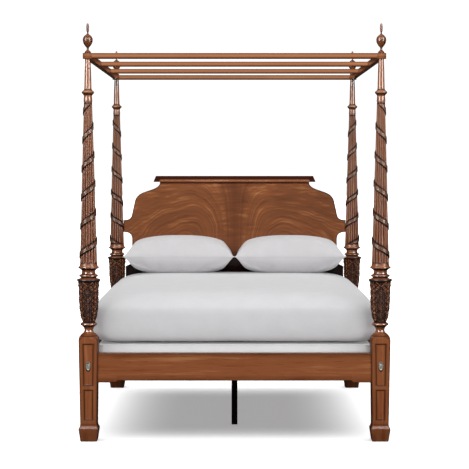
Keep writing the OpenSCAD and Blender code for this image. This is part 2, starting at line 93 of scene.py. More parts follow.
POST_X = -post_centre[0]
POST_Y = -post_centre[1]
NECK_Z = box_mm("lower_post_front_left")[1][2]
POST_TOP = post_high[2]
TESTER_TOP = finial_low[2]
TESTER_BOTTOM = post_high[2]
RAIL_TOP = rail_high[2]
RAIL_BOTTOM = side_low[2]
RAIL_DROP = RAIL_BOTTOM - rail_low[2]
RAIL_HALF = (rail_high[1] - rail_low[1]) / 2
CAP_BOTTOM = cap_low[2]
CAP_TOP = cap_high[2]

# ---- Sizes of the turned and carved work ----

# Half widths of the square leg, from the sole up
SOLE_HALF = 3.75
FOOT_HALF = 4.53
ANKLE_HALF = 3.81
BLOCK_HALF = 4.45
FOOT_Z = 5.6
ANKLE_Z = 8.3
BLOCK_TOP = 46.9
SHOULDER_Z = 49.3
NECK_BASE_Z = 49.7
ARRIS = 0.22
# Sunk panels: their heights, margin and moulded border
PANELS = [(9.9, 24.0), (25.8, 45.2)]
PANEL_MARGIN = 1.9
BORDER_AT = [0, 0.03, 0.12, 0.3, 0.46, 0.58]
BORDER_DEPTH = [0, 0.15, 0.19, 0.22, 0.37, 0.4]

# Half length of the headboard's crest, under the cap
CREST_HALF = 42.5

VASE_FOOT = 54.8
VASE_RIM = 74.3
VASE_LIP = 73.75
VASE_RIM_R = 5.37
SHAFT_FOOT = 81.6
SHAFT_TOP = 155.3
SHAFT_FOOT_R = 3.98
SHAFT_TOP_R = 1.9
REEDS = 16
RIBBON_PITCH = 13.15
RIBBON_Z = 144.7
RIBBON_HALF = 1.18
PIN_BORE_R = 0.45
PIN_END = box_mm("finial_pin_front_left")[0][2]

# Dark lines along the turned work, as (height, width, strength)
SHOULDER_LINES = [(BLOCK_TOP + 0.4, 0.35, 0.55), (48.6, 0.3, 0.55)]
VASE_LINES = [(53.1, 0.35, 1), (75.55, 0.35, 1), (54.75, 0.25, 1), (77.0, 0.2, 1)]
SHAFT_LINES = [(79.15, 0.4, 1), (SHAFT_FOOT + 0.5, 0.3, 0.7), (SHAFT_TOP - 0.1, 0.45, 0.98)]
SHAFT_LINES += [(159.0, 0.25, 0.7), (159.3, 0.45, 0.9), (161.4, 0.3, 0.9)]
FINIAL_LINES = [(TESTER_TOP + up, 0.3, 1) for up in (0.1, 2.1, 9.2)]


# ---- Outlines ----


def curve(a, b, c, d, steps=10):
    """Points along a cubic curve from a to d, steered by b and c. The first point is left out."""
    a, b, c, d = map(np.array, (a, b, c, d))
    made = []
    for i in range(1, steps + 1):
        t = i / steps
        s = 1 - t
        made.append(s**3 * a + 3 * s * s * t * b + 3 * s * t * t * c + t**3 * d)
    return [tuple(p) for p in made]


def bead(base, z, r, steps=10):
    """A half round bead that stands out by r from radius base, centred at height z."""
    angles = [math.pi * (i / steps - 0.5) for i in range(steps + 1)]
    return [(base + r * math.cos(a), z + r * math.sin(a)) for a in angles]


def quarter(x, y, r, start, steps):
    """Points along a quarter circle round a centre, anticlockwise from the start angle in degrees."""
    angles = [math.radians(start + 90 * i / steps) for i in range(steps + 1)]
    return [(x + r * math.cos(a), y + r * math.sin(a)) for a in angles]


def fine(points, step):
    """The same outline with its straight stretches cut into pieces no longer than step."""
    made = [points[0]]
    for a, b in zip(points, points[1:]):
        count = max(1, math.ceil(math.dist(a, b) / step))
        for i in range(1, count + 1):
            made.append(tuple(np.array(a) + (np.array(b) - np.array(a)) * i / count))
    return made


def smooth(low, high, value):
    """0 below low, 1 above high and an S between them. Low may be the larger of the two."""
    t = np.clip((value - low) / (high - low), 0, 1)
    return t * t * (3 - 2 * t)


def bump(distance, width):
    return np.exp(-((distance / width) ** 2))


def dark_lines(z, lines):
    return sum(strength * bump(z - height, width) for height, width, strength in lines)


# ---- Meshes ----


def add_object(name, data):
    made = bpy.data.objects.new(name, data)
    bpy.context.scene.collection.objects.link(made)
    return made


def make_object(name, points, faces, attributes=None, sharp=40):
    """A mesh object from points in millimetres, with its normals outwards and its shading smooth."""
    mesh = bpy.data.meshes.new(name)
    mesh.from_pydata((np.asarray(points) * MM).tolist(), [], faces)
    built = bmesh.new()
    built.from_mesh(mesh)
    bmesh.ops.recalc_face_normals(built, faces=built.faces)
    if built.calc_volume(signed=True) < 0:
        bmesh.ops.reverse_faces(built, faces=built.faces)
    built.to_mesh(mesh)
    built.free()
    for label, values in (attributes or {}).items():
        layer = mesh.attributes.new(label, "FLOAT", "POINT")
        layer.data.foreach_set("value", np.asarray(values, np.float32).ravel())
    mesh.shade_smooth()
    mesh.set_sharp_from_angle(angle=math.radians(sharp))
    return add_object(name, mesh)


def skin_faces(count, around, closed=False):
    """Faces over count rings of points. A closed row of rings meets its first one again, and an open
    one gets a cap at both ends."""
    here = np.arange(around)
    after = (here + 1) % around
    row = np.arange(count if closed else count - 1)[:, None] * around
    above = (row + around) % (count * around)
    quads = np.stack([row + here, row + after, above + after, above + here], -1)
    faces = quads.reshape(-1, 4).tolist()
    if not closed:
        faces.append(list(range(around))[::-1])
        faces.append(list(range((count - 1) * around, count * around)))
    return faces


def loft(name, rings, attributes=None, sharp=40):
    """A closed skin over a stack of rings with the same number of points each."""
    rings = np.asarray(rings)
    faces = skin_faces(*rings.shape[:2])
    return make_object(name, rings.reshape(-1, 3), faces, attributes, sharp)


def at_corner(rings, corner):
    """Moves rings made round the Z axis to a corner, mirrored so that they face outwards there."""
    rings = np.array(rings, float)
    rings[..., 0] = CORNERS[corner][0] * (rings[..., 0] - POST_X)
    rings[..., 1] = CORNERS[corner][1] * (rings[..., 1] - POST_Y)
    return rings


def turned(profile, around, relief):
    """Rings of a turned shape from (radius, height) points. Relief gives its carving, as
    (displacement, {attribute: values}), from the angle, height and radius of every point."""
    profile = np.array(profile)
    shape = (len(profile), around)
    theta = np.arange(around)[None, :] * TAU / around
    raised, attributes = relief(theta, profile[:, 1:], profile[:, :1])
    radius = np.broadcast_to(profile[:, :1] + raised, shape)
    height = np.broadcast_to(profile[:, 1:], shape)
    rings = np.stack([radius * np.cos(theta), radius * np.sin(theta), height], -1)
    return rings, {label: np.broadcast_to(values, shape) for label, values in attributes.items()}


# ---- Node materials ----


class Material:
    """A node material with one Principled shader, and short calls to add nodes to it."""

    def __init__(self, name, **shader):
        self.data = bpy.data.materials.new(name)
        self.data.use_nodes = True
        self.tree = self.data.node_tree
        self.shader = self.tree.nodes["Principled BSDF"]
        for key, value in shader.items():
            self.shader.inputs[key.replace("_", " ")].default_value = value
        self.place = self.add("ShaderNodeTexCoord").outputs["Object"]

    def feed(self, socket, value):
        if isinstance(value, bpy.types.NodeSocket):
            self.tree.links.new(value, socket)
        else:
            socket.default_value = value

    def drive(self, name, value):
        """Feeds an input of the shader."""
        self.feed(self.shader.inputs[name], value)

    def add(self, kind, settings=None, **inputs):
        made = self.tree.nodes.new(kind)
        for key, value in (settings or {}).items():
            setattr(made, key, value)
        for key, value in inputs.items():
            self.feed(made.inputs[key.replace("_", " ")], value)
        return made

    def stretched(self, scale):
        return self.add("ShaderNodeMapping", Vector=self.place, Scale=scale).outputs["Vector"]

    def noise(self, place, scale, detail=3, roughness=0.5, distortion=0):
        inputs = {"Scale": scale, "Detail": detail, "Roughness": roughness, "Distortion": distortion}
        return self.add("ShaderNodeTexNoise", Vector=place, **inputs).outputs["Fac"]

    def math(self, operation, a, b=0.0, clamp=False):
        made = self.add("ShaderNodeMath", {"operation": operation, "use_clamp": clamp})
        self.feed(made.inputs[0], a)
        self.feed(made.inputs[1], b)
        return made.outputs[0]

    def plus(self, a, b):
        return self.math("ADD", a, b)

    def minus(self, a, b):
        return self.math("SUBTRACT", a, b)

    def times(self, a, b):
        return self.math("MULTIPLY", a, b)

    def between(self, a, b, share):
        """A where share is 0, b where it is 1."""
        return self.plus(a, self.times(share, self.minus(b, a)))

    def weighted(self, first, *others):
        """The sum of (value, weight) pairs."""
        total = self.times(*first)
        for pair in others:
            total = self.plus(total, self.times(*pair))
        return total

    def ramp(self, factor, stops):
        made = self.add("ShaderNodeValToRGB", Fac=factor)
        elements = made.color_ramp.elements
        while len(elements) < len(stops):
            elements.new(0.5)
        for element, (position, colour) in zip(elements, stops):
            element.position = position
            element.color = (*colour, 1)
        return made.outputs["Color"]

    def level(self, factor, low, high, start, end):
        limits = {"From_Min": low, "From_Max": high, "To_Min": start, "To_Max": end}
        return self.add("ShaderNodeMapRange", Value=factor, **limits).outputs["Result"]

    def mix(self, factor, colour, tint):
        """The colour with some of the tint, which is another socket or three numbers."""
        made = self.add("ShaderNodeMix", {"data_type": "RGBA"})
        self.feed(made.inputs[0], factor)
        self.feed(made.inputs[6], colour)
        self.feed(made.inputs[7], (*tint, 1) if isinstance(tint, tuple) else tint)
        return made.outputs[2]

    def attribute(self, name):
        return self.add("ShaderNodeAttribute", {"attribute_name": name}).outputs["Fac"]

    def raise_by(self, height, distance, strength=1.0):
        made = self.add("ShaderNodeBump", Height=height, Distance=distance, Strength=strength)
        previous = self.shader.inputs["Normal"]
        if previous.is_linked:
            self.feed(made.inputs["Normal"], previous.links[0].from_socket)
        self.feed(previous, made.outputs["Normal"])


WOOD_DARK = (0.05, 0.009, 0.003)
WOOD_RED = (0.175, 0.045, 0.016)
WOOD_MID = (0.27, 0.087, 0.033)
WOOD_LIGHT = (0.38, 0.15, 0.062)
WOOD_PALE = (0.6, 0.27, 0.13)
WOOD_GREY = (0.085, 0.048, 0.034)
VENEER_MID = (0.235, 0.088, 0.038)
VENEER_BRIGHT = (0.295, 0.098, 0.038)
VENEER_LIGHT = (0.48, 0.21, 0.085)
VENEER_SHADE = (0.11, 0.042, 0.024)
VENEER_PLUME = (0.1, 0.033, 0.018)
VENEER_PAINTED_SHADE = (0.013, 0.003, 0.0016)
# Colour of the dark glaze, which also paints shade wherever the glaze attribute carries it
GLAZE_AND_SHADE = (0.009, 0.0025, 0.0014)


def polished(name, roughness=0.3):
    return Material(
        name,
        Roughness=roughness,
        Specular_IOR_Level=0.05,
        Coat_Weight=0.4,
        Coat_Roughness=0.1,
        Coat_IOR=1.45,
    )


def glazed_finish(m, colour, roughness, polish=0.4, stain_and_shade=GLAZE_AND_SHADE, wear=0.0):
    """Dark glaze and painted shade over the colour. Where they lie thick the wood is dull, without the
    polish on top.
    """
    glaze = m.math("ADD", m.attribute("glaze"), wear, clamp=True)
    m.drive("Base Color", m.mix(glaze, colour, stain_and_shade))
    m.drive("Roughness", m.plus(roughness, m.times(glaze, 0.35)))
    m.drive("Coat Weight", m.times(m.level(glaze, 0.2, 1, 1, 0.08), polish))


def tester_painted_light(m, colour):
    """Painted light on the tester: it is paler all over, and painted shade darkens it again along its
    lower and upper edges.
    """
    colour = m.mix(0.45, colour, WOOD_PALE)
    height = m.add("ShaderNodeSeparateXYZ", Vector=m.place).outputs["Z"]
    below = m.level(height, (TESTER_BOTTOM + 0.3) * MM, (TESTER_BOTTOM + 1.1) * MM, 0.95, 0)
    above = m.level(height, (TESTER_TOP - 0.9) * MM, TESTER_TOP * MM, 0, 0.7)
    return m.mix(above, m.mix(below, colour, WOOD_DARK), WOOD_DARK)


def carved_tone(m, colour):
    """Greyed places of the carving, and paler ones that are partly rubbed wear and partly painted light.
    """
    greyed = m.mix(0.65, colour, WOOD_GREY)
    colour = m.mix(m.attribute("ribbon"), colour, greyed)
    return m.mix(m.attribute("rubbed"), colour, WOOD_PALE)


def carved_wear(m, polish):
    """Uneven glaze where the polish is thin."""
    uneven = m.noise(m.place, 1500, roughness=0.6)
    return m.times(m.level(uneven, 0.3, 0.7, -0.45, 0.45), m.level(polish, 0.06, 0.12, 1, 0.1))


def wood(name, grain, polish=0.4, stain_and_shade=GLAZE_AND_SHADE, carved=False, tester=False):
    """Polished mahogany. Grain is the stretch along each axis: small along the grain."""
    m = polished(name)
    along = m.stretched(grain)
    streaks = m.noise(along, 900, detail=5, roughness=0.6, distortion=0.15)
    broad = m.noise(along, 300, distortion=0.3)
    patches = m.noise(m.place, 45, detail=2)
    tone = m.weighted((streaks, 0.35), (broad, 0.45), (patches, 0.2))
    colour = m.ramp(tone, [(0.36, WOOD_RED), (0.47, WOOD_MID), (0.53, WOOD_MID), (0.63, WOOD_LIGHT)])
    pores = m.noise(along, 2600, detail=2, roughness=0.7)
    colour = m.mix(m.level(pores, 0.6, 0.75, 0, 0.45), colour, WOOD_DARK)
    if tester:
        colour = tester_painted_light(m, colour)
    wear = 0.0
    if carved:
        colour = carved_tone(m, colour)
        polish = m.attribute("gloss")
        wear = carved_wear(m, polish)
    glazed_finish(m, colour, m.level(streaks, 0.3, 0.7, 0.24, 0.4), polish, stain_and_shade, wear)
    m.raise_by(pores, 0.00001, 0.5)
    return m.data


def figured_wood(name, middle_y, middle_z):
    """Book matched crotch veneer: arches that rise from the seam and fall away on both sides."""
    m = polished(name, 0.28)
    split = m.add("ShaderNodeSeparateXYZ", Vector=m.place)
    side = m.math("ABSOLUTE", split.outputs["X"])
    warp = m.times(m.minus(m.noise(m.place, 26, roughness=0.45), 0.5), 0.018)
    # The logarithm lays the arches' inner ends along the seam
    out = m.math("LOGARITHM", m.math("DIVIDE", m.plus(side, 0.0025), 0.031), math.e)
    out = m.times(out, 0.026)
    up = m.minus(split.outputs["Z"], middle_z)
    reach = m.plus(m.math("SQRT", m.plus(m.times(out, out), m.times(up, up))), warp)
    ringed = m.add("ShaderNodeCombineXYZ", X=reach, Y=m.times(side, 0.05)).outputs["Vector"]
    arches = m.noise(ringed, 950, detail=4, roughness=0.65)
    figure = m.weighted((arches, 0.5), (m.noise(ringed, 240), 0.5))
    fleck = m.noise(m.stretched((0.12, 1, 1)), 800)
    mottled = m.noise(m.stretched((0.3, 1, 1)), 260, detail=4, roughness=0.6)
    plain = m.weighted((mottled, 0.55), (fleck, 0.45))
    # The veneer is on the front. The back is plain, straight grained wood
    front = m.level(split.outputs["Y"], middle_y - 0.0001, middle_y + 0.0001, 1, 0)
    straight = m.noise(m.stretched((0.05, 1, 1)), 500, detail=4, roughness=0.55)
    straight = m.level(straight, 0.2, 0.8, 0.4, 0.58)
    clear = m.level(m.plus(reach, m.times(warp, 1.5)), 0.022, 0.044, 0.85, 0.2)
    clear = m.times(m.math("MAXIMUM", clear, m.level(side, 0.006, 0.02, 0.45, 0)), front)
    tone = m.between(m.between(straight, plain, front), figure, clear)
    stops = [(0.36, WOOD_RED), (0.46, VENEER_MID), (0.53, VENEER_BRIGHT), (0.62, VENEER_LIGHT)]
    shade = m.noise(m.place, 28, detail=2)
    colour = m.mix(m.level(shade, 0.45, 0.7, 0, 0.3), m.ramp(tone, stops), VENEER_SHADE)
    plume = m.level(m.plus(side, m.times(warp, 0.5)), 0.0, 0.011, 0.5, 0)
    colour = m.mix(m.times(plume, front), colour, VENEER_PLUME)
    # Painted shade: the front darkens towards its base, where the pillows hide it
    base = m.level(split.outputs["Z"], middle_z - 0.001, middle_z - 0.009, 0, 1)
    colour = m.mix(m.times(base, front), colour, VENEER_PAINTED_SHADE)
    relief = m.between(fleck, arches, front)
    glazed_finish(m, colour, m.level(relief, 0.3, 0.7, 0.24, 0.38))
    m.raise_by(relief, 0.000008, 0.4)
    return m.data


def cloth(name, colour, thread, wrinkle):
    """Plain woven cotton: fine crossing threads over a soft, uneven surface."""
    m = Material(name, Roughness=0.92, Specular_IOR_Level=0.2, Sheen_Weight=0.25, Sheen_Roughness=0.5)
    inputs = {"Vector": m.place, "Scale": thread, "Distortion": 0.6}
    waves = [m.add("ShaderNodeTexWave", {"bands_direction": axis}, **inputs) for axis in "XYZ"]
    warp, depth, weft = [wave.outputs["Fac"] for wave in waves]
    slub = m.noise(m.stretched((0.15, 1, 1)), 3000, detail=2)
    tone = m.weighted((m.noise(m.place, 130, detail=4), 0.7), (slub, 0.3))
    darker = tuple(c * 0.94 for c in colour)
    m.drive("Base Color", m.ramp(tone, [(0.3, darker), (0.65, colour)]))
    m.raise_by(m.noise(m.place, 70, roughness=0.55), wrinkle)
    m.raise_by(m.plus(warp, m.plus(weft, depth)), 0.000012, 0.5)
    return m.data


def metal(name, colour, roughness):
    """Plated metal with fine brushing and a little tarnish."""
    m = Material(name, Metallic=0.75, Roughness=roughness)
    brushed = m.noise(m.stretched((1, 1, 0.1)), 9000)
    darker = tuple(c * 0.55 for c in colour)
    m.drive("Base Color", m.ramp(m.noise(m.place, 1400), [(0.35, darker), (0.55, colour)]))
    m.drive("Roughness", m.level(brushed, 0.3, 0.7, roughness * 0.8, roughness * 1.3))
    return m.data


def plain_wood(name):
    """Unfinished pale wood with soft growth lines along X."""
    m = Material(name, Roughness=0.7, Specular_IOR_Level=0.3)
    lines = m.noise(m.stretched((0.05, 1, 1)), 700, detail=4, roughness=0.6, distortion=0.3)
    stops = [(0.35, (0.36, 0.22, 0.11)), (0.5, (0.53, 0.36, 0.2)), (0.65, (0.62, 0.45, 0.27))]
    m.drive("Base Color", m.ramp(lines, stops))
    m.raise_by(lines, 0.00002, 0.5)
    return m.data


def black_paint(name):
    """Satin black paint, a little uneven and worn."""
    m = Material(name, Roughness=0.45, Specular_IOR_Level=0.15)
    uneven = m.noise(m.stretched((1, 1, 0.3)), 900, detail=4)
    stops = [(0.4, (0.01, 0.0035, 0.0015)), (0.7, (0.02, 0.008, 0.004))]
    m.drive("Base Color", m.ramp(uneven, stops))
    m.drive("Roughness", m.level(uneven, 0.3, 0.7, 0.38, 0.55))
    m.raise_by(uneven, 0.00001, 0.5)
    return m.data


post_wood = wood("post_mahogany", (1, 1, 0.07))
carved_wood = wood("carved_mahogany", (1, 1, 0.12), carved=True)
finial_wood = wood("finial_mahogany", (1, 1, 0.07), polish=0.45)
cap_wood = wood("cap_mahogany", (0.06, 1, 1), polish=0.15, stain_and_shade=(0.04, 0.006, 0.002))
cross_wood = wood("cross_mahogany", (0.06, 1, 1))
long_wood = wood("long_mahogany", (1, 0.06, 1))
tester_wood = wood("tester_mahogany", (0.06, 1, 1), tester=True)
panel_wood = figured_wood("figured_mahogany", POST_Y * MM, (CAP_BOTTOM - 35) * MM)
pale_wood = plain_wood("slat_wood")
leg_paint = black_paint("black_paint")
nickel = metal("nickel", (0.6, 0.6, 0.54), 0.45)
steel = metal("steel", (0.45, 0.45, 0.46), 0.35)
mattress_cotton = cloth("mattress_cotton", (0.66, 0.655, 0.668), 2300, 0.0002)
pillow_cotton = cloth("pillow_cotton", (0.6, 0.59, 0.6), 2600, 0.00016)
foundation_cotton = cloth("foundation_cotton", (0.8, 0.805, 0.81), 2000, 0.00005)


def finish_piece(made, material, *nodes, body="frame", slot="mahogany"):
    made.data.materials.append(material)
    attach(made, body)
    if nodes:
        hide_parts(*nodes)


# ---- Legs ----


def leg_half(z):
    """Half width of the square leg at each height."""
    outline = [(SOLE_HALF - 0.2, 0), (SOLE_HALF + 0.01, 0.18)]
    outline += [(FOOT_HALF, FOOT_Z - 0.1), (FOOT_HALF, FOOT_Z)]
    outline += curve(outline[-1], (FOOT_HALF, 6.6), (ANKLE_HALF, 6.4), (ANKLE_HALF, ANKLE_Z))
    outline += [(BLOCK_HALF, BLOCK_TOP), (BLOCK_HALF, 60)]
    halves, heights = np.array(outline).T
    return np.interp(z, heights, halves)


def shoulder_radius(z):
    """Radius that the lathe leaves at each height over the square block."""
    outline = [(7.0, BLOCK_TOP - 0.1)]
    outline += curve((6.4, BLOCK_TOP), (5.3, BLOCK_TOP + 0.4), (4.3, 48.0), (3.49, SHOULDER_Z), 16)
    outline += [(2.95, NECK_BASE_Z)]
    radii, heights = np.array(outline).T
    return np.interp(z, heights, radii, left=20)


def leg_heights():
    """Heights of the leg's rings: close together wherever its shape changes."""
    heights = [0, 0.18, 1.8, 3.6, FOOT_Z - 0.1, FOOT_Z]
    heights += [p[1] for p in curve((0, FOOT_Z), (0, 6.6), (0, 6.4), (0, ANKLE_Z))]
    for low, high in PANELS:
        heights += [low - 0.4] + [low + e for e in BORDER_AT]
        heights += list(np.linspace(low + 1.2, high - 1.2, 9))
        heights += [high - e for e in reversed(BORDER_AT)] + [high + 0.3]
    heights += [BLOCK_TOP - 0.1, BLOCK_TOP]
    heights += list(np.linspace(BLOCK_TOP + 0.05, SHOULDER_Z, 26)) + [NECK_BASE_Z]
    return np.array(sorted(set(round(z, 4) for z in heights)))


def leg_ring(z):
    """One ring of the leg, with its glaze and painted shade. Faces run anticlockwise from the one that
    looks along -Y.
    """
    half = float(leg_half(z))
    near = [ARRIS, 0.5, 1.1, PANEL_MARGIN - 0.02] + [PANEL_MARGIN + e for e in BORDER_AT]
    rest = half - near[-1]
    near = np.array(near + [near[-1] + rest * share for share in (0.35, 0.7, 1)])
    across = np.concatenate([near - half, (half - near)[-2::-1]])
    from_edge = np.concatenate([near, near[-2::-1]])
    end = max(min(z - low, high - z) for low, high in PANELS)
    inside = np.minimum(from_edge - PANEL_MARGIN, end)
    sink = np.interp(inside, BORDER_AT, BORDER_DEPTH)
    glaze = 0.9 * bump(inside - 0.22, 0.27) * (inside > -0.1)
    arris_glaze = 0.6 * bump(from_edge - ARRIS, 0.25)
    bend = np.linspace(-math.pi / 2, 0, 5)[1:-1]
    arris = np.stack([half - ARRIS + ARRIS * np.cos(bend), ARRIS - half + ARRIS * np.sin(bend)], -1)
    points = []
    glaze_and_shade_values = []
    for face in range(4):
        # Faces 0 and 3 look along -Y and -X, which are the outer ones
        outer = face in (0, 3)
        both = np.concatenate([np.stack([across, outer * sink - half], -1), arris])
        c = math.cos(face * math.pi / 2)
        s = math.sin(face * math.pi / 2)
        points.append(both @ np.array([[c, s], [-s, c]]))
        # Painted shade: the face towards the bed is darker, as less light reaches it
        stain_and_shade = 0.5 if face == 1 else 0
        glaze_and_shade_values += [np.maximum(glaze if outer else stain_and_shade, arris_glaze), np.full(len(arris), 0.7)]
    points = np.concatenate(points)
    glaze_and_shade_values = np.concatenate(glaze_and_shade_values)
    reach = np.hypot(points[:, 0], points[:, 1])
    limit = float(shoulder_radius(z))
    cut = reach > limit
    points[cut] *= (limit / reach[cut])[:, None]
    if z > BLOCK_TOP - 0.1:
        glaze_and_shade_values = np.where(cut, 0.22 + dark_lines(z, SHOULDER_LINES), glaze_and_shade_values)
    return np.column_stack([points, np.full(len(points), z)]), glaze_and_shade_values


def build_leg(corner):
    heights = leg_heights()
    rings, glaze_and_shade_values = zip(*[leg_ring(z) for z in heights])
    up = heights[:, None]
    # Painted shade: the rear legs are darker all over, and every foot is darker below its ankle
    rear_painted_shade = 0.12 if corner.startswith("rear") else 0
    glaze_and_shade_values = np.maximum(np.array(glaze_and_shade_values), 0.34 * smooth(ANKLE_Z + 1, FOOT_Z, up) + rear_painted_shade)
    glaze_and_shade_values = np.maximum(glaze_and_shade_values, 0.8 * bump(up - ANKLE_Z + 0.35, 0.3))
    glaze_and_shade_values = np.maximum(glaze_and_shade_values, 0.7 * bump(up - NECK_BASE_Z, 0.35))
    made = loft(f"leg_{corner}", at_corner(rings, corner), {"glaze": glaze_and_shade_values}, sharp=32)
    finish_piece(made, post_wood, f"lower_post_{corner}")


# ---- Vase ----


def vase_profile():
    points = [(2.93, NECK_BASE_Z - 0.1), (2.95, NECK_BASE_Z)]
    points += curve(points[-1], (2.0, 50.3), (1.6, 51.6), (2.75, 52.8), 14)
    points += bead(3.2, 53.9, 0.66, 12)
    points += curve((2.75, VASE_FOOT), (4.35, 57.6), (4.75, 66), (4.4, 71.4), 130)
    points += curve(points[-1], (4.4, 72.7), (4.65, 73.4), (VASE_RIM_R - 0.1, VASE_LIP), 24)
    points += [(VASE_RIM_R, VASE_LIP + 0.1), (VASE_RIM_R, VASE_RIM + 0.2)]
    points += [(VASE_RIM_R - 0.1, VASE_RIM + 0.32), (3.75, 75.05), (3.5, 75.5)]
    points += bead(3.85, 76.2, 0.5, 10)
    points += curve((3.5, 76.8), (3.2, 77), (3.1, 77.3), (3.1, NECK_Z), 4)
    return fine(points, 0.3)


def chevrons(z, across, slope, pitch):
    """How full the lobes of a leaf are, from 0 in the cuts between them to 1 on their backs."""
    phase = ((z - slope * across) / pitch) % 1
    return np.sin(math.pi * phase) ** 0.6


def broad_leaf(z, across, lobes):
    """Height of a broad leaf. Across is the distance from its midrib."""
    veins = 0.035 * np.cos(5 * TAU * (z - 0.95 * across) / 3.1)
    return 0.08 + 0.2 * lobes + 0.2 * bump(across, 0.32) - 0.16 * bump(across - 0.62, 0.2) + veins


def slim_leaf(z, across):
    lobes = chevrons(z, across, 0.8, 3.7)
    return -0.2 + 0.2 * lobes + 0.22 * bump(across, 0.24) - 0.1 * bump(across - 0.5, 0.16)


def curled(height, up, slim):
    """Over the slim leaf's tip the broad leaves curl outwards and leave a dark V between them."""
    opening = 1.15 * up
    inside = smooth(-0.2, 0.4, up) * smooth(0.1, -0.3, slim - opening)
    height = height * (1 - inside) - 0.04 * inside
    height = height + 0.34 * bump(slim - opening, 0.2) * smooth(-0.6, 0.1, up)
    second = up - 1.35
    return height - 0.2 * bump(slim - 1.15 * second, 0.2) * smooth(-0.2, 0.3, second)


def leaf_finish(height, z, broad, in_slim, barbs):
    """Stain in the hollows of the leaves, and paler wood on their backs that is partly rubbed wear and
    partly painted light.
    """
    on_vase = smooth(VASE_FOOT - 0.1, VASE_FOOT + 0.2, z) * smooth(VASE_RIM + 0.1, VASE_RIM - 0.2, z)
    flecks = 0.5 + 0.5 * np.cos(TAU * (z + 0.9 * broad) / 1.7)
    on_broad = 1 - 0.95 * smooth(0.0, 0.3, height) * (0.25 + 0.75 * flecks)
    on_slim = 0.95 - 0.7 * smooth(-0.2, 0.1, height) * (0.7 + 0.3 * barbs)
    glaze = (on_slim * in_slim + on_broad * (1 - in_slim)) * on_vase + (1 - on_vase) * 0.1
    glaze = glaze + 0.65 * bump(z - VASE_RIM, 0.5) + dark_lines(z, VASE_LINES)
    return {
        "glaze": np.clip(glaze, 0, 1),
        "ribbon": on_vase * in_slim * 0.3,
        "rubbed": 0.5 * smooth(0.2, 0.4, height) * on_vase * flecks,
        "gloss": 1 - 0.94 * on_vase,
    }


def acanthus(theta, z, radius):
    """Carving of the vase: broad leaves on the diagonals with curled tips, slim ones between them."""
    turn = np.abs((theta / (TAU / 4) + 0.5) % 1 - 0.5)
    slim = turn * (TAU / 4) * radius
    broad = (0.5 - turn) * (TAU / 4) * radius
    apex = VASE_RIM - 2.9
    lobes = chevrons(z, broad, 0.95, 2.5) ** 1.8
    width = 1.5 * smooth(apex + 0.3, apex - 4, z) + 0.28 * (lobes - 0.5)
    in_slim = smooth(0.18, -0.18, slim - width)
    height = in_slim * slim_leaf(z, slim) + (1 - in_slim) * broad_leaf(z, broad, lobes)
    height = height - 0.26 * bump(slim - width - 0.1, 0.2) * smooth(apex + 0.2, apex - 0.5, z)
    height = curled(height, z - apex, slim)
    window = smooth(VASE_FOOT, VASE_FOOT + 0.9, z) * smooth(VASE_LIP, VASE_LIP - 0.4, z)
    barbs = np.cos(TAU * (z - 1.1 * np.minimum(slim, broad)) / 1.05)
    height = (1.15 * height + 0.1 * barbs - 0.1) * window
    return height, leaf_finish(height, z, broad, in_slim, barbs)


def build_vase(corner):
    rings, attributes = turned(vase_profile(), 208, acanthus)
    made = loft(f"vase_{corner}", at_corner(rings, corner), attributes, sharp=50)
    finish_piece(made, carved_wood)


# ---- Shafts ----


def shaft_profile():
    points = [(3.1, NECK_Z), (3.1, 78.2)]
    points += curve(points[-1], (3.1, 78.8), (3.6, 79), (4.1, 79.4), 8)
    points += bead(4.32, 80, 0.46, 10)
    points += [(4.12, 80.7), (4.12, 81.2), (SHAFT_FOOT_R, SHAFT_FOOT)]
    points += fine([points[-1], (SHAFT_TOP_R, SHAFT_TOP)], 0.24)[1:]
    points += [(1.82, 155.5), (1.99, 156)]
    points += curve(points[-1], (1.99, 157.4), (1.82, 157.6), (1.82, 158.6), 6)
    points += curve((2.1, 159.2), (2.6, 159.4), (2.85, 159.8), (2.85, 160.3), 8)
    points += curve(points[-1], (2.4, 160.8), (1.65, 161), (1.65, 162), 9)
    points += [(1.45, 170), (1.22, POST_TOP)]
    # The bore for the finial's pin, down to a little under its end
    points += [(PIN_BORE_R, POST_TOP), (PIN_BORE_R, PIN_END - 0.2)]
    return points


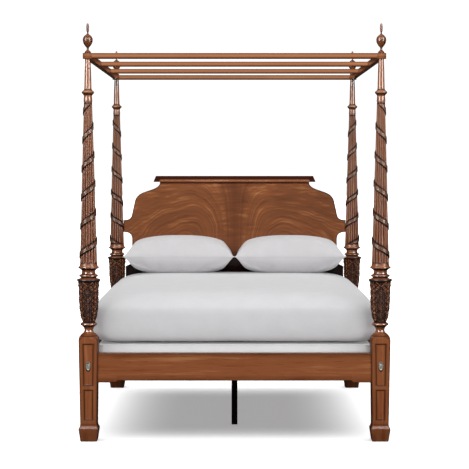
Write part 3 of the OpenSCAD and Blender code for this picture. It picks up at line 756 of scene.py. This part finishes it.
def reeds_and_ribbon(theta, z, radius):
    """Reeding along the shaft, with a carved ribbon wound round it like a right hand thread."""
    window = smooth(SHAFT_FOOT + 0.3, SHAFT_FOOT + 1.2, z) * smooth(SHAFT_TOP - 0.2, SHAFT_TOP - 1.1, z)
    hump = np.abs(np.sin(REEDS / 2 * theta))
    reeds = 0.13 * radius * (hump - 1)
    phase = ((z - RIBBON_Z) / RIBBON_PITCH - theta / TAU + 0.5) % 1 - 0.5
    away = np.abs(phase) * RIBBON_PITCH
    size = radius / SHAFT_FOOT_R * 0.35 + 0.65
    on = smooth(RIBBON_HALF + 0.2, RIBBON_HALF - 0.12, away)
    run = (theta * radius + 0.4 * away * np.sign(phase)) / 0.8
    rim = bump(away - RIBBON_HALF + 0.28, 0.2)
    spine = bump(away, 0.16)
    veins = 0.5 + 0.5 * np.cos(TAU * (run - 1.3 * away / RIBBON_HALF))
    top = 0.34 * size + 0.08 * rim + 0.06 * spine + 0.045 * veins * (1 - rim) * (1 - spine)
    beside = bump(away - RIBBON_HALF - 0.3, 0.28)
    height = (reeds - 0.07 * beside) * (1 - on) + top * on
    edge = smooth(RIBBON_HALF - 0.55, RIBBON_HALF - 0.15, away)
    glaze = (0.12 + 0.88 * smooth(0.7, 0.05, hump) + 0.9 * beside) * (1 - on)
    glaze = glaze + on * (0.6 * (1 - veins) * (1 - rim) + 0.1 + 0.9 * edge)
    glaze = np.clip(glaze, 0, 1) * window + 0.1 * (1 - window) + dark_lines(z, SHAFT_LINES)
    # Paler wood, partly rubbed wear and partly painted light: round the plain top and foot, on the
    # ribbon's back, and growing paler up the shaft
    rubbed = 0.18 * smooth(SHAFT_TOP - 0.4, SHAFT_TOP, z) + 0.06 * smooth(SHAFT_FOOT + 0.4, SHAFT_FOOT, z)
    rubbed = rubbed + 0.4 * on * veins * (1 - edge) * window + 0.15 * smooth(SHAFT_FOOT, SHAFT_TOP, z)
    plain = smooth(SHAFT_TOP - 0.3, SHAFT_TOP, z) + smooth(80.9, 80.5, z)
    attributes = {
        "glaze": np.clip(glaze, 0, 1),
        "ribbon": on * window,
        "rubbed": rubbed,
        "gloss": 1 - (0.86 - 0.14 * on) * (1 - plain) - 0.35 * plain,
    }
    return height * window, attributes


def build_shaft(corner):
    rings, attributes = turned(shaft_profile(), REEDS * 11, reeds_and_ribbon)
    made = loft(f"shaft_{corner}", at_corner(rings, corner), attributes, sharp=50)
    finish_piece(made, carved_wood, f"upper_post_{corner}")


# ---- Finials ----


def finial_profile():
    """Radii at heights over the tester, and then the tip."""
    points = [(1.35, 0), (1.45, 0.1), (1.45, 0.3)]
    points += curve((1.45, 0.4), (1.1, 1.2), (0.47, 1), (0.47, 2), 10)
    points += curve((0.47, 2.4), (1.2, 3.2), (2.28, 4.2), (2.28, 6), 16)
    points += curve(points[-1], (2.28, 7.4), (1.3, 8), (0.95, 8.3), 12)
    points += curve(points[-1], (0.5, 8.6), (0.3, 8.9), (0.3, 9.3), 8)
    points += curve(points[-1], (0.75, 10), (0.75, 12.2), (0.45, 13.3), 12)
    return [(r, TESTER_TOP + z) for r, z in points] + [(0.2, finial_high[2])]


def finial_finish(theta, z, radius):
    return 0, {"glaze": np.clip(0.32 + dark_lines(z, FINIAL_LINES), 0, 0.85)}


def build_finial(corner):
    rings, attributes = turned(finial_profile(), 64, finial_finish)
    made = loft(f"turned_finial_{corner}", at_corner(rings, corner), attributes)
    finish_piece(made, finial_wood, f"finial_{corner}", body=f"finial_{corner}")


# ---- Rails ----


def rounded_section(half, low, high, r=0.25, r_low=0.45, steps=4):
    """A rail's section, anticlockwise seen from its end, as (across, z), with rounded edges."""
    corners = [(half, low, r_low, -90), (half, high, r, 0), (-half, high, r, 90), (-half, low, r_low, 180)]
    points = []
    for x, z, radius, start in corners:
        cx = x - math.copysign(radius, x)
        cz = z + radius if z == low else z - radius
        points += quarter(cx, cz, radius, start, steps)
        # Extra points up the two faces carry the painted shade along their edges
        face = [low + 0.9, low + 1.6, low + 2.8, (low + high) / 2, high - 2.4, high - 1.2]
        if x > 0 and z == low:
            points += [(half, height) for height in face]
        if x < 0 and z == high:
            points += [(-half, height) for height in reversed(face)]
    return np.array(points)


def edge_painted_shade(section, low, high):
    """Painted shade along a rail's upper and lower edges, with a lighter line just over the lower one."""
    up = section[:, 1] - low
    edges = 0.75 * bump(up, 0.3) + 0.28 * bump(up - 1.2, 0.9) + 0.58 * bump(section[:, 1] - high, 1.5)
    return np.clip(edges, 0, 1)


def cross_rail(name, node, y, drop):
    """A rail across the bed. Its ends reach lower than its middle by drop, and sit in the legs."""
    half_length = POST_X - leg_half(RAIL_BOTTOM) + 0.05
    step = half_length - 9.2
    turn_down = [step + share for share in np.linspace(-0.2, 1.2, 9)]
    right = list(np.linspace(0, step - 1, 12)) + turn_down + [half_length - 3, half_length]
    stations = [-x for x in reversed(right[1:])] + right
    rings = []
    glaze_and_shade_values = []
    for x in stations:
        low = RAIL_BOTTOM - drop * float(smooth(step, step + 1, abs(x)))
        section = rounded_section(RAIL_HALF, low, RAIL_TOP)
        rings.append([(x, y + a, z) for a, z in section])
        glaze_and_shade_values.append(edge_painted_shade(section, low, RAIL_TOP))
    made = loft(name, rings, {"glaze": glaze_and_shade_values})
    finish_piece(made, cross_wood, node)


def side_rail(side, sign):
    """A rail along the bed."""
    half_length = POST_Y - leg_half(RAIL_BOTTOM) + 0.05
    section = rounded_section(RAIL_HALF, RAIL_BOTTOM, RAIL_TOP)
    x = sign * POST_X
    stations = np.linspace(-half_length, half_length, 24)
    rings = [[(x + a, y, z) for a, z in section] for y in stations]
    glaze_and_shade_values = [edge_painted_shade(section, RAIL_BOTTOM, RAIL_TOP) for _ in stations]
    made = loft(f"rail_{side}", rings, {"glaze": glaze_and_shade_values})
    finish_piece(made, long_wood, f"side_rail_{side}")


# ---- Headboard ----


def headboard_outline():
    """Right half of the outline, from the crest down to the rail."""
    crest = CREST_HALF
    waist = 58.4
    ear_end = POST_X - 3.75
    side = POST_X - 4.9
    points = [(crest, CAP_BOTTOM + 0.8), (crest, CAP_BOTTOM - 1)]
    points += curve(points[-1], (crest + 1.6, 111.8), (waist - 3, 113), (waist - 1.7, 106.6), 22)
    points += [(waist, 99)]
    points += curve((waist, 99), (waist + 0.3, 96.8), (waist + 1.6, 95.7), (ear_end, 95.7), 9)
    points += [(ear_end, 88.9)]
    points += curve((ear_end, 88.9), (waist + 1.4, 88.7), (waist + 0.1, 87.6), (waist, 85), 9)
    points += [(waist, 74)]
    points += curve((waist, 74), (waist, 71.6), (waist + 0.8, 70.6), (waist + 1.8, 70.3), 7)
    points += [(side, 69.4), (side, RAIL_TOP + 0.05)]
    return points


def inset(outline, distance):
    """The closed outline moved inwards by a small distance."""
    before = np.roll(outline, 1, axis=0)
    after = np.roll(outline, -1, axis=0)
    a = outline - before
    b = after - outline
    a /= np.linalg.norm(a, axis=1)[:, None]
    b /= np.linalg.norm(b, axis=1)[:, None]
    normal = np.stack([-(a + b)[:, 1], (a + b)[:, 0]], -1)
    length = np.maximum(np.linalg.norm(normal, axis=1), 0.5)[:, None]
    return outline + normal / length**2 * 2 * distance


def build_headboard():
    right = headboard_outline()
    left = [(-x, z) for x, z in reversed(right)]
    outline = np.array(fine(right + left, 4.0))[::-1]
    y = centre_mm("headboard_panel")[1]
    half = (panel_high[1] - panel_low[1]) / 2
    r = 0.3
    angles = [math.radians(18 * i) for i in range(6)]
    edge = [(-1, a) for a in angles] + [(1, a) for a in reversed(angles)]
    centre = inset(outline, 0.8)
    rings = [[(x, y - half, z) for x, z in centre]]
    glaze_and_shade_values = [0]
    for sign, a in edge:
        at = y + sign * (half - r + r * math.cos(a))
        rings.append([(x, at, z) for x, z in inset(outline, r * (1 - math.sin(a)))])
        glaze_and_shade_values.append(0.85 if a else 0.5)
    rings.append([(x, y + half, z) for x, z in centre])
    glaze_and_shade_values.append(0)
    made = loft("figured_headboard", rings, {"glaze": np.repeat(glaze_and_shade_values, len(outline))})
    finish_piece(made, panel_wood, "headboard_panel", slot="figured_mahogany")


def cap_outline(half_panel, out):
    """Front half of the cap's section, from its sharp lower lip up to its top edge."""
    lip = half_panel + out
    z = CAP_BOTTOM
    points = [(lip - 0.06, z), (lip, z + 0.06), (lip, z + 0.5)]
    points += curve((lip, z + 0.5), (lip, z + 1.4), (lip - 0.9, z + 1.6), (lip - 1, z + 1.8), 8)
    points += [(lip - 1.1, CAP_TOP - 0.1), (lip - 1.2, CAP_TOP)]
    return points


def build_cap():
    half_panel = (panel_high[1] - panel_low[1]) / 2
    out = (cap_high[1] - cap_low[1]) / 2 - half_panel
    front = cap_outline(half_panel, out)
    section = [(-a, z) for a, z in front] + [(a, z) for a, z in reversed(front)]
    y = centre_mm("headboard_cap")[1]
    low_half = cap_high[0]
    rings = []
    glaze_and_shade_values = []
    ends = [CREST_HALF / low_half, CREST_HALF / low_half + 0.006, 1]
    for share in [-e for e in reversed(ends)] + list(np.linspace(-0.9, 0.9, 13)) + ends:
        ring = []
        for a, z in section:
            half = low_half - 1.2 * max(0, (z - CAP_BOTTOM - 0.5) / (CAP_TOP - CAP_BOTTOM - 0.5))
            ring.append((share * half, y + a, z))
        rings.append(ring)
        heights = np.array(section)[:, 1]
        # Painted shade: the ends, which turn back from the front, are near black
        painted_shade_end = 0.97 if abs(share) * low_half > CREST_HALF else 0
        glaze_and_shade_values.append(np.maximum(0.94 * smooth(CAP_BOTTOM + 1.2, CAP_BOTTOM + 1.6, heights), painted_shade_end))
    made = loft("cap_moulding", rings, {"glaze": glaze_and_shade_values}, sharp=30)
    finish_piece(made, cap_wood, "headboard_cap", slot="dark_edge")


# ---- Bolt covers ----


def build_cover(corner):
    """An oval plate with a raised rim and a domed middle."""
    node = f"bolt_cover_{corner}"
    low, high = box_mm(node)
    centre = (low + high) / 2
    half = (high - low) / 2
    outwards = -CORNERS[corner][1]
    back = low[1] if outwards > 0 else high[1]
    profile = [(0.96, 0), (1.0, 0.12), (0.99, 0.6), (0.93, 0.95), (0.86, 1.0), (0.78, 0.85)]
    profile += [(0.74, 0.5), (0.68, 0.42), (0.6, 0.5), (0.45, 0.66), (0.3, 0.76), (0.12, 0.8)]
    a = TAU * np.arange(48) / 48
    rings = []
    for share, rise in profile:
        x = centre[0] + share * half[0] * np.cos(a)
        z = centre[2] + share * half[2] * np.sin(a)
        y = back + outwards * rise * (high[1] - low[1])
        rings.append(np.column_stack([x, np.full(48, y), z]))
    finish_piece(loft(f"oval_cover_{corner}", rings), nickel, node, body=node, slot="nickel")


# ---- Bedding ----

SIM_SCALE = 12.0
SIM_FRAMES = 20
SEAM_R = 0.3


def evaluated_points(made):
    graph = bpy.context.evaluated_depsgraph_get()
    mesh = bpy.data.meshes.new_from_object(made.evaluated_get(graph))
    points = np.zeros(len(mesh.vertices) * 3)
    mesh.vertices.foreach_get("co", points)
    return mesh, points.reshape(-1, 3)


def remeshed(name, points, faces, voxel):
    """An even mesh over a closed shape, at the size that the cloth is simulated at."""
    made = make_object(name, np.asarray(points) * SIM_SCALE, faces)
    modifier = made.modifiers.new("even", "REMESH")
    modifier.mode = "VOXEL"
    modifier.voxel_size = voxel * MM * SIM_SCALE
    mesh, _ = evaluated_points(made)
    made.modifiers.clear()
    made.data = mesh
    return made


def inflate(made, pressure, most):
    """Swells the mesh as cloth under pressure, and caps how far any point may move."""
    start = evaluated_points(made)[1]
    cloth_modifier = made.modifiers.new("swell", "CLOTH")
    settings = cloth_modifier.settings
    settings.quality = 6
    settings.mass = 0.3
    settings.tension_stiffness = 20
    settings.compression_stiffness = 12
    settings.bending_stiffness = 0.4
    settings.use_pressure = True
    settings.uniform_pressure_force = pressure
    settings.effector_weights.gravity = 0
    cloth_modifier.collision_settings.use_self_collision = False
    for step in range(1, SIM_FRAMES + 1):
        bpy.context.scene.frame_set(step)
    moved = evaluated_points(made)[1]
    made.modifiers.clear()
    bpy.context.scene.frame_set(1)
    change = moved - start
    length = np.linalg.norm(change, axis=1)[:, None]
    limit = most * MM * SIM_SCALE
    return start + change * np.minimum(1, limit / np.maximum(length, 1e-9))


def soft_piece(name, source, points, material, slot, node):
    """The simulated points as a finished piece at real size, with one subdivision."""
    mesh = source.data.copy()
    mesh.name = name
    mesh.vertices.foreach_set("co", (points * MM).ravel())
    made = add_object(name, mesh)
    modifier = made.modifiers.new("smooth", "SUBSURF")
    modifier.levels = 1
    modifier.render_levels = 1
    made.data = evaluated_points(made)[0]
    made.modifiers.clear()
    made.data.name = name
    made.data.shade_smooth()
    bpy.data.objects.remove(source)
    finish_piece(made, material, node, body=node, slot=slot)


def rounded_plan(half_x, half_y, r, steps=10):
    """Points round a rectangle with rounded corners, anticlockwise."""
    points = []
    for start, sx, sy in ((0, 1, 1), (90, -1, 1), (180, -1, -1), (270, 1, -1)):
        points += quarter(sx * (half_x - r), sy * (half_y - r), r, start, steps)
    return np.array(points)


def stacked(levels, centre):
    """Rings for a soft shape from (height, half x, half y, corner radius) levels."""
    rings = []
    for z, half_x, half_y, r in levels:
        plan = rounded_plan(half_x, half_y, r)
        rings.append(np.column_stack([plan + centre[:2], np.full(len(plan), z)]))
    return np.array(rings)


def fitted(points, low, high):
    """The points stretched a little along each axis, so that they fill a box."""
    now_low = points.min(0)
    return low + (points - now_low) * (high - low) / (points.max(0) - now_low)


def mattress_levels(low, high, half):
    """The side bows out most a third of the way up the mattress and turns well under at its foot.
    The top is crowned in the middle."""
    levels = [(low[2] + 0.05, half[0] - 5, half[1] - 5, 7)]
    for i in range(15):
        share = i / 14
        inwards = 0.4 + 1.0 * (1 - min(1, share / 0.6)) ** 2 + 0.8 * max(0, share - 0.6) ** 1.5
        levels.append((low[2] + 0.1 + 14 * share, half[0] - inwards, half[1] - inwards, 9.5))
    reach = 42
    rise = 9.6
    for i in range(26):
        share = (i / 25) ** 2
        z = high[2] - rise + rise * math.sqrt(1 - (1 - share) ** 4)
        inwards = 0.6 + reach * share
        levels.append((z - 0.1, half[0] - inwards, half[1] - inwards, 10 + 9 * share))
    return levels


def build_mattress():
    """A deep mattress with soft edges, whose sides are fullest halfway along."""
    low, high = box_mm("mattress")
    half = (high - low) / 2
    rings = stacked(mattress_levels(low, high, half), (low + high) / 2)
    source = remeshed("mattress_form", rings.reshape(-1, 3), skin_faces(*rings.shape[:2]), 2.2)
    points = inflate(source, 1.2, 1.2) / MM / SIM_SCALE
    # Its sides stand a little proud, and its top lies a little low under the pillows
    points = fitted(points, low - (1.5, 0, 0), high + (1.5, 0, -1.2))
    points[:, 0] *= 1 + 0.021 * (1 - (points[:, 1] / half[1]) ** 2)
    soft_piece("stuffed_mattress", source, points, mattress_cotton, "mattress_cloth", "mattress")


def pillow_form(low, high):
    """Two quilted sheets sewn round their edge, as a grid that is thin at its rim and corners."""
    half = (high - low) / 2
    centre = (low + high) / 2
    wide = 72
    deep = 48
    points = []
    index = {}
    for layer in (1, -1):
        for j in range(deep + 1):
            for i in range(wide + 1):
                at_rim = i in (0, wide) or j in (0, deep)
                if at_rim and layer < 0:
                    index[layer, i, j] = index[1, i, j]
                    continue
                u = math.sin(math.pi * (i / wide - 0.5))
                v = math.sin(math.pi * (j / deep - 0.5))
                swell = 0.9 * math.sqrt(max(0, (1 - abs(u) ** 2.5) * (1 - v * v)))
                x = u * (1 - 0.03 * (1 - v * v) * u * u) * (1 - 0.07 * max(0, v) ** 2)
                y = v * (1 - 0.09 * (1 - u * u) * v * v)
                index[layer, i, j] = len(points)
                points.append(centre + half * (x, y, layer * swell))
    faces = []
    for layer in (1, -1):
        for j in range(deep):
            for i in range(wide):
                faces.append([index[layer, i + a, j + b] for a, b in ((0, 0), (1, 0), (1, 1), (0, 1))])
    rim = [index[1, i, 0] for i in range(wide)] + [index[1, wide, j] for j in range(deep)]
    rim += [index[1, i, deep] for i in range(wide, 0, -1)] + [index[1, 0, j] for j in range(deep, 0, -1)]
    return np.array(points), faces, rim


def build_seam(side, line):
    """The thin corded seam of a pillow, along a closed line of points in millimetres."""
    along = np.roll(line, -1, axis=0) - np.roll(line, 1, axis=0)
    along /= np.linalg.norm(along, axis=1)[:, None]
    outwards = np.cross(along, (0, 0, 1))
    outwards /= np.linalg.norm(outwards, axis=1)[:, None]
    up = np.cross(outwards, along)
    angles = (TAU * np.arange(8) / 8)[None, :, None]
    rings = line[:, None] + SEAM_R * (np.cos(angles) * outwards[:, None] + np.sin(angles) * up[:, None])
    faces = skin_faces(len(line), 8, closed=True)
    made = make_object(f"pillow_seam_{side}", rings.reshape(-1, 3), faces)
    finish_piece(made, pillow_cotton, body=f"pillow_{side}", slot="pillow_cloth")


def build_pillow(side):
    """A plump pillow: a form a little thinner than its box, swollen as cloth and fitted to the box."""
    node = f"pillow_{side}"
    low, high = box_mm(node)
    # The outer end stops a little short of its box
    low[0] += 1.3 if side == "left" else 0
    high[0] -= 1.3 if side == "right" else 0
    form, faces, rim = pillow_form(low, high)
    source = make_object(f"{side}_form", form * SIM_SCALE, faces)
    points = fitted(inflate(source, 4.0, 1.4) / MM / SIM_SCALE, low, high)
    # It lies flat on the mattress, with its underside pressed level
    rest = low[2] + 1.3
    below = points[:, 2] < rest
    points[below, 2] = rest - (rest - points[below, 2]) ** 0.5 * 0.2
    points = fitted(points, low, high)
    build_seam(side, points[rim])
    soft_piece(f"stuffed_pillow_{side}", source, points, pillow_cotton, "pillow_cloth", node)


def build_foundation():
    """A firm upholstered base with a thin welt round its top and bottom edges."""
    low, high = box_mm("foundation")
    half = (high - low) / 2
    centre = (low + high) / 2
    welt = 0.14
    outline = [(-1.2, low[2] + 0.02), (-0.5, low[2] + 0.05)]
    outline += [(x - 0.35, z) for x, z in bead(0, low[2] + 0.5, welt, 6)]
    for i in range(1, 12):
        share = i / 12
        z = low[2] + 0.9 + share * (high[2] - low[2] - 1.8)
        outline.append((-0.4 + 0.25 * math.sin(math.pi * share), z))
    outline += [(x - 0.35, z) for x, z in bead(0, high[2] - 0.5, welt, 6)]
    outline += [(-0.6, high[2] - 0.12), (-1.4, high[2] - 0.05), (-4, high[2] - 0.02)]
    levels = [(z, half[0] + x, half[1] + x, max(0.8, 3 + x)) for x, z in outline]
    made = loft("covered_foundation", stacked(levels, centre))
    finish_piece(made, foundation_cotton, "foundation", body="foundation", slot="foundation_cloth")


# ---- Carried over CAD parts ----

CAD_FINISHES = [
    (("tester_rail_front", "tester_rail_rear", "tester_slat"), tester_wood, 0.5),
    (("tester_rail_left", "tester_rail_right"), long_wood, 0.5),
    (("slat_screws", "cleat_screws", "leg_screws", "cover_pins", "bed_bolts"), steel, 0),
    (("barrel_nuts", "finial_pin"), steel, 0),
    (("slat_", "cleat_"), pale_wood, 0),
    (("centre_leg",), leg_paint, 0.12),
]


def finish_cad_node(name, node):
    """Gives a carried over node its material and, where it shows, softened edges."""
    for starts, material, edge in CAD_FINISHES:
        if not name.startswith(starts):
            continue
        node.data.materials.clear()
        node.data.materials.append(material)
        if edge:
            joined = node.modifiers.new("joined", "WELD")
            joined.merge_threshold = 0.000005
            rounded = node.modifiers.new("rounded", "BEVEL")
            rounded.width = edge * MM
            rounded.segments = 3
            rounded.limit_method = "ANGLE"
            rounded.angle_limit = math.radians(40)
        return
    raise ValueError(f"no finish for {name}")


# ---- Build ----

for corner in CORNERS:
    build_leg(corner)
    build_vase(corner)
    build_shaft(corner)
    build_finial(corner)
    build_cover(corner)
cross_rail("rail_foot", "foot_rail", -POST_Y, RAIL_DROP)
cross_rail("rail_head", "head_rail", POST_Y, 0.2)
side_rail("left", -1)
side_rail("right", 1)
build_headboard()
build_cap()
build_foundation()
build_mattress()
build_pillow("left")
build_pillow("right")
for name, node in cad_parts.items():
    if not node.hide_render:
        finish_cad_node(name, node)


# ---- Floor, light and camera ----


def build_floor():
    reach = 6.0
    corners = [(-reach, -reach, 0), (reach, -reach, 0), (reach, reach, 0), (-reach, reach, 0)]
    mesh = bpy.data.meshes.new("floor")
    mesh.from_pydata(corners, [], [(0, 1, 2, 3)])
    floor = add_object("floor", mesh)
    m = Material(
        "floor_white",
        Roughness=0.9,
        Specular_IOR_Level=0.1,
        Emission_Color=(1, 0.99, 1.0, 1),
        Emission_Strength=0.335,
    )
    tone = m.noise(m.place, 3, detail=2)
    m.drive("Base Color", m.ramp(tone, [(0.3, (0.86, 0.86, 0.865)), (0.7, (0.87, 0.87, 0.875))]))
    mesh.materials.append(m.data)
    floor.visible_diffuse = False
    floor.visible_glossy = False
    floor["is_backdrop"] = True


def background(nodes, strength):
    made = nodes.new("ShaderNodeBackground")
    made.inputs["Color"].default_value = (1, 1, 1, 1)
    made.inputs["Strength"].default_value = strength
    return made.outputs[0]


def build_world():
    """White behind everything, a soft grey that lights the bed, and near black in its reflections."""
    world = bpy.data.worlds.new("studio")
    bpy.context.scene.world = world
    world.use_nodes = True
    nodes = world.node_tree.nodes
    links = world.node_tree.links
    nodes.remove(nodes["Background"])
    path = nodes.new("ShaderNodeLightPath")
    lit = background(nodes, 0.08)
    for ray, strength in (("Is Glossy Ray", 0.015), ("Is Camera Ray", 1.1)):
        mixed = nodes.new("ShaderNodeMixShader")
        links.new(path.outputs[ray], mixed.inputs[0])
        links.new(lit, mixed.inputs[1])
        links.new(background(nodes, strength), mixed.inputs[2])
        lit = mixed.outputs[0]
    links.new(lit, nodes["World Output"].inputs["Surface"])


def add_light(name, kind, place, aim_z, power):
    """A light that points at the middle of the bed, at some height over the floor."""
    data = bpy.data.lights.new(name, kind)
    data.energy = power
    light = add_object(name, data)
    light.visible_camera = False
    light.location = place
    direction = np.array((0, 0, aim_z)) - np.array(place)
    light.rotation_mode = "QUATERNION"
    light.rotation_quaternion = Vector(direction).to_track_quat("-Z", "Y")
    return light


def shine_on(light, objects):
    """Limits a light to these objects. The others still stand in its way."""
    group = bpy.data.collections.new(f"lit_by_{light.name}")
    for lit in objects:
        group.objects.link(lit)
    light.light_linking.receiver_collection = group


CLOTH_NAMES = ("stuffed", "covered", "pillow_seam")
TURNED_NAMES = ("vase", "shaft", "turned_finial")

# Area lights, in metres: place, height aimed at, power, size, what they shine on, and the kind of
# ray that they are hidden from
AREA_LIGHTS = {
    "key": ((0, -0.85, 0.62), 0.1, 9.8, (0.5, 0.3), "hard", None),
    "top": ((0, 0.1, 1.1), 0.1, 2.5, (0.8, 0.6), "hard", None),
    "gloss_left": ((-0.9, -0.9, 0.5), 0.1, 70, (0.7, 1.15), "turned", "diffuse"),
    "gloss_right": ((0.9, -0.9, 0.5), 0.1, 70, (0.7, 1.15), "turned", "diffuse"),
    "rear_left": ((-0.5, 1.25, 0.55), 0.1, 10, (0.6, 0.6), "hard", "glossy"),
    "rear_right": ((0.5, 1.25, 0.55), 0.1, 10, (0.6, 0.6), "hard", "glossy"),
    "cloth_left": ((-1.2, -0.3, 0.25), 0.06, 4.5, (1.0, 0.5), "cloth", None),
    "cloth_right": ((1.2, -0.3, 0.25), 0.06, 4.5, (1.0, 0.5), "cloth", None),
    "cloth_top": ((0, 0, 1.1), 0.06, 21.5, (2.4, 2.4), "cloth", None),
    "cloth_front": ((0, -1.1, 0.15), 0.06, 19, (3.6, 0.6), "cloth", None),
}


def build_lights():
    """A dome lights the floor. A key, a top and two rear lights do the wood and metal, two strips
    put gloss on the turned pieces, and wide lights from the sides, top and front do the cloth."""
    dome = add_light("dome", "SUN", (0, 0, 1), 0, 5.7)
    dome.data.angle = math.radians(112)
    shine_on(dome, [bpy.data.objects["floor"]])
    cloth_pieces = [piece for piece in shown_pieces() if piece.name.startswith(CLOTH_NAMES)]
    hard_pieces = [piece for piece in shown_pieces() if piece not in cloth_pieces]
    turned_pieces = [piece for piece in hard_pieces if piece.name.startswith(TURNED_NAMES)]
    groups = {"hard": hard_pieces, "turned": turned_pieces, "cloth": cloth_pieces}
    for name, (place, aim_z, power, size, group, hidden_from) in AREA_LIGHTS.items():
        light = add_light(name, "AREA", place, aim_z, power)
        light.data.shape = "RECTANGLE"
        light.data.size, light.data.size_y = size
        if hidden_from:
            setattr(light, f"visible_{hidden_from}", False)
        shine_on(light, groups[group])


def build_camera():
    """The camera looks along +Y, a little downwards, from in front of the foot end."""
    data = bpy.data.cameras.new("camera")
    data.lens = 122.2
    data.sensor_width = 36
    data.clip_start = 0.01
    data.clip_end = 20
    camera = add_object("camera", data)
    distance = 0.7299
    camera.location = (0, -POST_Y * MM - distance, 0.1267)
    camera.rotation_euler = (math.radians(90 - 2.48), 0, 0)
    bpy.context.scene.camera = camera


build_floor()
build_world()
build_lights()
build_camera()
bpy.context.scene.view_settings.view_transform = "Standard"
